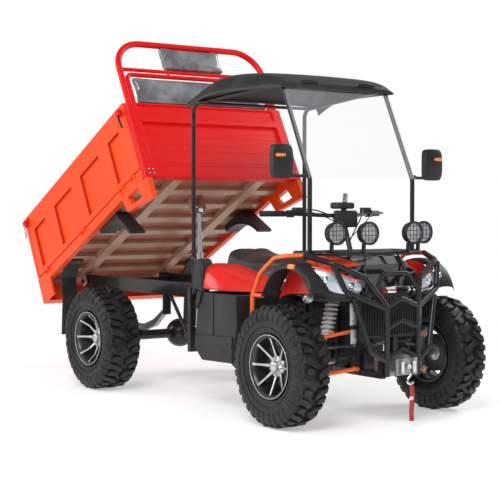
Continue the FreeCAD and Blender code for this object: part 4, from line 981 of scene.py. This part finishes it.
def extruded(name, outline, sign, inner, outer, material, bevel):
    """A plate on one side with an (x, z) outline, between two distances outward."""
    points = [at(x, y, z) for y in sorted((sign * inner, sign * outer)) for x, z in outline]
    return edged(prism(name, points, material, True), bevel, 30)


def body_panels():
    """Red side panels under the seat with a black rear trim and a grab loop on each side."""
    rows = ((-0.868, 0.185, 0.800, 0.440, 0.816, 0.480, 0.672),
            (-0.780, 0.182, 0.782, 0.425, 0.800, 0.482, 0.668),
            (-0.690, 0.178, 0.756, 0.390, 0.768, 0.478, 0.664),
            (-0.600, 0.174, 0.742, 0.330, 0.736, 0.430, 0.662),
            (-0.510, 0.172, 0.742, 0.280, 0.724, 0.360, 0.660),
            (-0.415, 0.170, 0.765, 0.235, 0.736, 0.300, 0.662))
    trim = ((-0.938, 0.664), (-0.926, 0.800), (-0.902, 0.838), (-0.866, 0.842),
            (-0.842, 0.800), (-0.828, 0.730), (-0.826, 0.664))
    loop = ((-1.020, 0.845), (-0.985, 0.850), (-0.958, 0.835), (-0.952, 0.780), (-0.952, 0.640))
    items = []
    for _, sign in SIDES:
        points = []
        for x, y_top, z_top, y_mid, z_mid, y_low, z_low in rows:
            for y, z in ((y_top, z_top), ((y_top + y_mid) / 2, (z_top + z_mid) / 2 + 0.006),
                         (y_mid, z_mid),
                         ((y_mid + y_low) / 2 + 0.014, (z_mid + z_low) / 2 + 0.012),
                         (y_low, z_low)):
                points.append(at(x, sign * y, z))
        items.append(shell("panel", points, 5, RED_PLASTIC))
        items.append(extruded("trim", trim, sign, 0.395, 0.492, PLASTIC, 0.020))
        items.append(pipe("loop", [at(x, sign * 0.452, z) for x, z in loop], 0.0095, BLACK))
    placed(joined("body_panels", items), "chassis", "rear_fenders")


def footwell_trim():
    """Pressed bands and a bevelled corner plate on the outside of each footwell."""
    plates = (("band", 0.556, PLASTIC, 0.004,
               ((-0.806, 0.360), (-0.802, 0.415), (-0.432, 0.430), (-0.440, 0.362))),
              ("seam", 0.553, PLASTIC, 0.002,
               ((-0.632, 0.425), (-0.632, 0.655), (-0.622, 0.655), (-0.622, 0.425))),
              ("corner", 0.558, FINS, 0.004,
               ((-0.790, 0.560), (-0.788, 0.640), (-0.775, 0.662), (-0.735, 0.662),
                (-0.750, 0.610))))
    items = [extruded(name, outline, sign, 0.546, outer, finish, bevel)
             for _, sign in SIDES for name, outer, finish, bevel, outline in plates]
    placed(joined("footwell_trim", items), "chassis")


def front_fittings():
    """Bracket and bottle beside the radiator, horn above each front arm, winch rollers."""
    boxes = (("bracket", (0.178, -0.238, 0.520), (0.186, -0.197, 0.640), SILVER, 0.003),
             ("foot", (0.176, -0.234, 0.425), (0.188, -0.197, 0.505), SILVER, 0.005),
             ("clip", (0.174, -0.236, 0.500), (0.190, -0.197, 0.524), BLACK, 0.003),
             ("bottle", (0.150, 0.200, 0.545), (0.200, 0.250, 0.620), WHITE, 0.008),
             ("fluid", (0.149, 0.199, 0.500), (0.201, 0.251, 0.548), BLUE, 0.008))
    items = [rounded_box(name, at(*low), at(*high), finish, bevel)
             for name, low, high, finish, bevel in boxes]
    for z in (0.545, 0.600):
        items.append(rod("hole", at(0.1855, -0.218, z), at(0.1868, -0.218, z), 0.004, BLACK))
    for _, sign in SIDES:
        items.append(ribbed("horn", at(-0.075, sign * 0.318, 0.652),
                            at(-0.015, sign * 0.352, 0.660), 0.026, 5, 0.006, SILVER))
        items.append(rod("roller", at(0.368, sign * 0.040, 0.281), at(0.368, sign * 0.040, 0.339),
                         0.0105, CHROME, 16))
    placed(joined("front_fittings", items), "chassis")


def pull_strap():
    """The woven winch strap with its sewn tag, hanging with a slight wave."""
    low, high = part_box("winch_strap")
    steps, half = 24, 0.0145
    points = []
    for step in range(steps + 1):
        share = step / steps
        z = high.z + (low.z - high.z) * share
        x = high.x - 0.010 + 0.008 * share + 0.002 * math.sin(share * 7)
        sway = 0.004 * math.sin(share * 5)
        for y in (-half, half):
            points.append((x + 0.003 * math.copysign(math.sin(share * 4), y), y + sway, z))
    strap = from_faces("strap", points, grid_faces(steps + 1, 2), STRAP, True)
    applied(walled(strap, 0.0026))
    tidy_normals(strap.data)
    tag = rounded_box("tag", (high.x - 0.0115, -0.012, 0.142), (high.x - 0.0035, 0.016, 0.160),
                      WHITE, 0.001, 1)
    placed(joined("pull_strap", [strap, tag]), "chassis", "winch_strap")


# ------------------------------------------------------------------ controls and mirrors

def ribbed(name, start, end, radius, ribs, depth, material, steps=24):
    """A round sleeve with ribs between two points."""
    start, end = Vector(start), Vector(end)
    length = (end - start).length
    profile = [(0.0, 0.0)]
    for index in range(ribs):
        low = length * index / ribs
        high = length * (index + 1) / ribs
        profile += [(radius - depth, low + 0.001), (radius, low + (high - low) * 0.35),
                    (radius, low + (high - low) * 0.75), (radius - depth, high - 0.0002)]
    profile.append((0.0, length))
    item = lathe(name, profile, material, steps)
    turn = (end - start).to_track_quat("Y", "Z").to_matrix().to_4x4()
    item.data.transform(Matrix.Translation(start) @ turn)
    return item


def hand_controls():
    """Grips, switch blocks, levers and the dashboard pod."""
    back = FRONT_X - 0.160 - 0.015
    height = 1.100
    items = []
    for _, sign in SIDES:
        tip = Vector((back - 0.1875, sign * 0.4235, height))
        root = Vector((back - 0.113, sign * 0.300, height))
        items.append(ribbed("grip", root, tip, 0.0165, 12, 0.0016, RUBBER))
        block = rounded_box("switch", (-0.022, -0.019, -0.020), (0.022, 0.019, 0.020), PLASTIC,
                            0.006)
        run = (tip - root).normalized()
        turn = run.to_track_quat("X", "Z").to_matrix().to_4x4()
        block.data.transform(Matrix.Translation(root - run * 0.024) @ turn)
        items.append(block)
        pivot = root + Vector((0.042, -sign * 0.030, 0.006))
        end = tip + Vector((0.055, -sign * 0.012, 0.002))
        middle = (pivot + end) / 2 + Vector((0.012, sign * 0.006, 0))
        items.append(pipe("lever", [pivot, middle, end], 0.0058, BLACK, 10))
        reservoir = root + Vector((0.030, -sign * 0.058, 0.014))
        items.append(rounded_box("reservoir", reservoir - Vector((0.024, 0.026, 0.014)),
                                 reservoir + Vector((0.022, 0.026, 0.020)), PLASTIC, 0.006))
        items.append(pipe("hose", [reservoir, reservoir + Vector((0.045, -sign * 0.05, 0.02)),
                                   (back + 0.060, sign * 0.090, height - 0.02),
                                   (back + 0.060, sign * 0.036, height - 0.10),
                                   (back + 0.054, sign * 0.012, height - 0.15)], 0.0038, BLACK))
        items.append(pipe("cable", [root, root + Vector((0.075, -sign * 0.03, 0.03)),
                                    (back + 0.085, sign * 0.120, height - 0.03),
                                    (back + 0.064, sign * 0.050, height - 0.10),
                                    (back + 0.050, sign * 0.012, height - 0.14)], 0.0028, BLACK))
    pod = rounded_box("pod", (back - 0.040, -0.055, height + 0.026),
                      (back + 0.050, 0.055, height + 0.062), PLASTIC, 0.012)
    hood = rounded_box("hood", (back + 0.012, -0.075, height - 0.075),
                       (back + 0.052, 0.075, height + 0.018), PLASTIC, 0.012)
    face = rounded_box("dial", (back - 0.041, -0.038, height + 0.034),
                       (back - 0.038, 0.038, height + 0.056), FINS, 0.001, 1)
    holder = ribbed("holder", (back + 0.01, 0.012, height + 0.058),
                    (back - 0.028, 0.050, height + 0.106), 0.014, 4, 0.003, STEEL)
    stalk = rounded_box("stalk", (back + 0.0125, -0.018, height - 0.0035),
                        (back + 0.022, 0.018, height + 0.040), BLACK, 0.003)
    whole = joined("hand_controls", items + [pod, hood, face, holder, stalk])
    placed(whole, "steering", "bar_controls")


def mirror_heads():
    def bulged(x, y, z):
        corner = 1 - 0.10 * abs(y) ** 5 * abs(z) ** 5
        bulge = 0.0265 * (1 - 0.35 * y * y - 0.35 * z * z) if x > 0 else -0.024
        return bulge * abs(x), 0.064 * y * corner, 0.088 * z * corner

    items = []
    for _, sign in SIDES:
        centre = Vector(at(-0.0185, sign * 0.528, 1.373))
        head = smoothed(moulded("shell", 6, bulged, PLASTIC), 1)
        tidy_normals(head.data)
        head.data.transform(Matrix.Translation(centre))
        items.append(head)
        items.append(rounded_box("glass", centre + Vector((-0.0262, -0.054, -0.076)),
                                 centre + Vector((-0.0235, 0.054, 0.076)), CHROME, 0.001, 1))
        lamp = centre + Vector((0.018, sign * 0.022, 0.030))
        items.append(rounded_box("lamp", lamp - Vector((0.008, 0.030, 0.009)),
                                 lamp + Vector((0.0075, 0.030, 0.009)), AMBER, 0.004))
        arm = [at(-0.0185, sign * 0.480, 1.300), at(-0.0145, sign * 0.430, 1.296),
               at(-0.0105, sign * 0.380, 1.300)]
        items.append(pipe("arm", arm, 0.0085, PLASTIC))
        items.append(rod("neck", at(-0.0185, sign * 0.478, 1.297), at(-0.0185, sign * 0.490, 1.312),
                         0.011, PLASTIC))
        items.append(side_box("clamp", sign, (-0.028, 0.002), (0.3730, 0.3880), (1.289, 1.313),
                              PLASTIC, 0.004))
    placed(joined("mirror_heads", items), "chassis", "mirrors")


def shaft_boots():
    """Ribbed boots and bare shafts to the front wheels."""
    low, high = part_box("half_shafts")
    height = (low.z + high.z) / 2
    items = []
    for _, sign in SIDES:
        for inner, outer, ribs in ((0.1005, 0.190, 6), (0.330, 0.3985, 5)):
            items.append(ribbed("boot", at(0, sign * inner, height), at(0, sign * outer, height),
                                0.033, ribs, 0.010, RUBBER))
        items.append(rod("shaft", at(0, sign * 0.18, height), at(0, sign * 0.34, height), 0.013,
                         STEEL, 16))
    placed(joined("shaft_boots", items), "chassis", "half_shafts")


def flares():
    """Curved wheel arches with rolled edges, an amber lamp on each and a red web under each."""
    line = [(-0.256, 0.664), (-0.212, 0.742), (-0.146, 0.820), (-0.046, 0.857), (0.056, 0.849),
            (0.128, 0.812), (0.172, 0.756), (0.192, 0.700)]
    across = ((0.376, -0.012), (0.392, -0.002), (0.430, 0.0), (0.475, -0.002), (0.497, -0.014),
              (0.502, -0.036))
    rim = [(x * 0.93, z - 0.018) for x, z in line[:-2]]
    rim += [(0.12, 0.690), (0.05, 0.684), (-0.05, 0.680), (-0.15, 0.674), (-0.21, 0.662)]
    items = []
    for _, sign in SIDES:
        points = [at(x * (1 + drop * 0.6), sign * y, z + drop)
                  for x, z in line for y, drop in across]
        items.append(shell("flare", points, len(across), PLASTIC))
        items.append(side_box("lamp", sign, (-0.005, 0.050), (0.488, 0.5065), (0.815, 0.842), AMBER,
                              0.007))
        points = [at(x, y, z) for y in sorted((sign * 0.374, sign * 0.380)) for x, z in rim]
        items.append(prism("web", points, RED_PLASTIC))
    placed(joined("wheel_arches", items), "chassis", "front_flares")


def headlights():
    """Swept headlights with a dark chin under each and an orange line along the top."""
    columns = ((0.232, 0.205, 0.690, 0.752), (0.222, 0.270, 0.684, 0.772),
               (0.203, 0.335, 0.690, 0.796), (0.168, 0.392, 0.712, 0.812),
               (0.118, 0.430, 0.752, 0.826))
    items = []
    for _, sign in SIDES:
        glass, chin, line = [], [], []
        for x, y, low, high in columns:
            for share, out in ((0.0, 0.0), (0.35, 0.012), (0.7, 0.008), (1.0, -0.012)):
                glass.append(at(x + out, sign * y, low + (high - low) * share))
            chin += [at(x + 0.002, sign * y, low + 0.003), at(x - 0.006, sign * y * 0.98, 0.664),
                     at(x - 0.050, sign * y * 0.93, 0.648)]
            line.append(at(x - 0.010, sign * y, high + 0.003))
        items.append(shell("glass", glass, 4, LENS, 0.010))
        items.append(shell("chin", chin, 3, PLASTIC, 0.005))
        items.append(pipe("line", line, 0.0045, STRIPE, 8))
        for x, y, low, high in columns[1::2]:
            bulb = lathe("bulb", [(0.0, 0.0), (0.017, 0.0), (0.021, 0.010), (0.0, 0.014)], CHROME,
                         24)
            items.append(forward(bulb, at(x + 0.004, sign * y, (low + high) / 2)))
    placed(joined("headlight_set", items), "chassis", "headlights")


def side_latches():
    """A latch block with its handle at each end of each drop side."""
    top = SEAM + SIDE_HEIGHT
    for side, sign in SIDES:
        y = sign * (BED_HALF + 0.022)
        items = []
        for x, hand, finish in ((BED_FRONT - 0.040, 1, BLACK),
                                (BED_FRONT - BED_LENGTH + 0.045, -1, STEEL)):
            items.append(rounded_box("block", (x - 0.018, y - 0.014, top - 0.075),
                                     (x + 0.018, y + 0.014, top - 0.035), RED, 0.004))
            items.append(pipe("handle", [(x, y + sign * 0.010, top - 0.070),
                                         (x + hand * 0.004, y + sign * 0.014, top - 0.120),
                                         (x + hand * 0.012, y + sign * 0.010, top - 0.160)],
                              0.007, finish))
        whole = joined("latches_" + side, items)
        whole.data.transform(BED)
        placed(whole, "drop_side_" + side)


def shaded_recess_walls():
    """Painted shade: a darker orange on the edges of the pressed panels in the drop sides, standing
    for the shadow in their deep recesses.
    """
    inward = BED.inverted()
    turn = inward.to_3x3()
    for side, _ in SIDES:
        mesh = bpy.data.objects["drop_side_%s_pressing" % side].data
        mesh.materials.append(RECESS_SHADE)
        for face in mesh.polygons:
            spot = inward @ face.center
            inside = (BED_FRONT - BED_LENGTH + 0.05 < spot.x < BED_FRONT - 0.05
                      and SEAM + 0.02 < spot.z < SEAM + SIDE_HEIGHT - 0.02)
            # faces on the recess walls get the painted shade
            if inside and abs((turn @ face.normal).y) < 0.35:
                face.material_index = 1


# ------------------------------------------------------------------ scene

def stage():
    bpy.ops.mesh.primitive_plane_add(size=60, location=(0, 0, -0.002))
    floor = bpy.context.object
    floor.name = "floor"
    material = bpy.data.materials.new("pale_floor")
    material.use_nodes = True
    tree = material.node_tree
    shader = tree.nodes["Principled BSDF"]
    shader.inputs["Base Color"].default_value = (0.90, 0.90, 0.90, 1)
    shader.inputs["Roughness"].default_value = 0.7
    shader.inputs["Emission Color"].default_value = (1, 1, 1, 1)
    shader.inputs["Emission Strength"].default_value = FLOOR_GLOW
    place = tree.nodes.new("ShaderNodeTexCoord")
    reach = tree.nodes.new("ShaderNodeVectorMath")
    reach.operation = "LENGTH"
    tree.links.new(place.outputs["Object"], reach.inputs[0])
    fade = tree.nodes.new("ShaderNodeMapRange")
    fade.interpolation_type = "SMOOTHSTEP"
    fade.inputs["From Min"].default_value = FADE_START
    fade.inputs["From Max"].default_value = FADE_END
    tree.links.new(reach.outputs["Value"], fade.inputs["Value"])
    glow = tree.nodes.new("ShaderNodeEmission")
    mixed = tree.nodes.new("ShaderNodeMixShader")
    tree.links.new(fade.outputs[0], mixed.inputs[0])
    tree.links.new(shader.outputs[0], mixed.inputs[1])
    tree.links.new(glow.outputs[0], mixed.inputs[2])
    tree.links.new(mixed.outputs[0], tree.nodes["Material Output"].inputs["Surface"])
    floor.data.materials.append(material)
    world = bpy.data.worlds.new("studio")
    bpy.context.scene.world = world
    world.use_nodes = True
    tree = world.node_tree
    base = tree.nodes["Background"]
    base.inputs["Color"].default_value = (1, 1, 1, 1)
    base.inputs["Strength"].default_value = SKY_LIGHT
    seen = tree.nodes.new("ShaderNodeBackground")
    seen.inputs["Color"].default_value = (1, 1, 1, 1)
    seen.inputs["Strength"].default_value = 1.0
    path = tree.nodes.new("ShaderNodeLightPath")
    blend = tree.nodes.new("ShaderNodeMixShader")
    tree.links.new(path.outputs["Is Camera Ray"], blend.inputs[0])
    tree.links.new(base.outputs[0], blend.inputs[1])
    tree.links.new(seen.outputs[0], blend.inputs[2])
    tree.links.new(blend.outputs[0], tree.nodes["World Output"].inputs[0])
    for name, spot, size, power in (("key", (4.5, -4.5, 5.0), 3.0, 290),
                                    ("fill", (-3.5, -5.0, 3.0), 3.0, 95),
                                    ("rim", (1.0, 5.0, 4.5), 3.0, 130)):
        lamp = bpy.data.lights.new(name, "AREA")
        lamp.size = size
        lamp.energy = power
        item = bpy.data.objects.new(name, lamp)
        item.location = spot
        aim = Vector(LIT_POINT) - Vector(spot)
        item.rotation_euler = aim.to_track_quat("-Z", "Y").to_euler()
        bpy.context.scene.collection.objects.link(item)


def camera():
    data = bpy.data.cameras.new("camera")
    data.sensor_width = 36
    data.lens = 91.8
    item = bpy.data.objects.new("camera", data)
    item.location = at(5.2531, -4.4624, 1.1263)
    item.rotation_euler = (math.radians(90 - CAMERA_DIP), 0, math.radians(CAMERA_TURN))
    bpy.context.scene.collection.objects.link(item)
    bpy.context.scene.camera = item
    bpy.context.scene.view_settings.view_transform = "Standard"


# painted shade, tinted with reflected red, on the recessed underside panels between the ribs
shade_between_ribs(UNDER, (0.40, 0.10, 0.055), 0.087)
finish_nodes()
for label, edge_width in SOFTENED.items():
    softened(label, edge_width)
painted_cowl()
# painted shade on the recess walls of the drop sides
shaded_recess_walls()
side_latches()
headlights()
body_panels()
footwell_trim()
front_fittings()
pull_strap()
hand_controls()
mirror_heads()
shaft_boots()
flares()
wheels()
roof()
backrests()
seat()
spot_lamps()
radiator_fins()
coil_springs()
headboard_bolts()
stage()
camera()
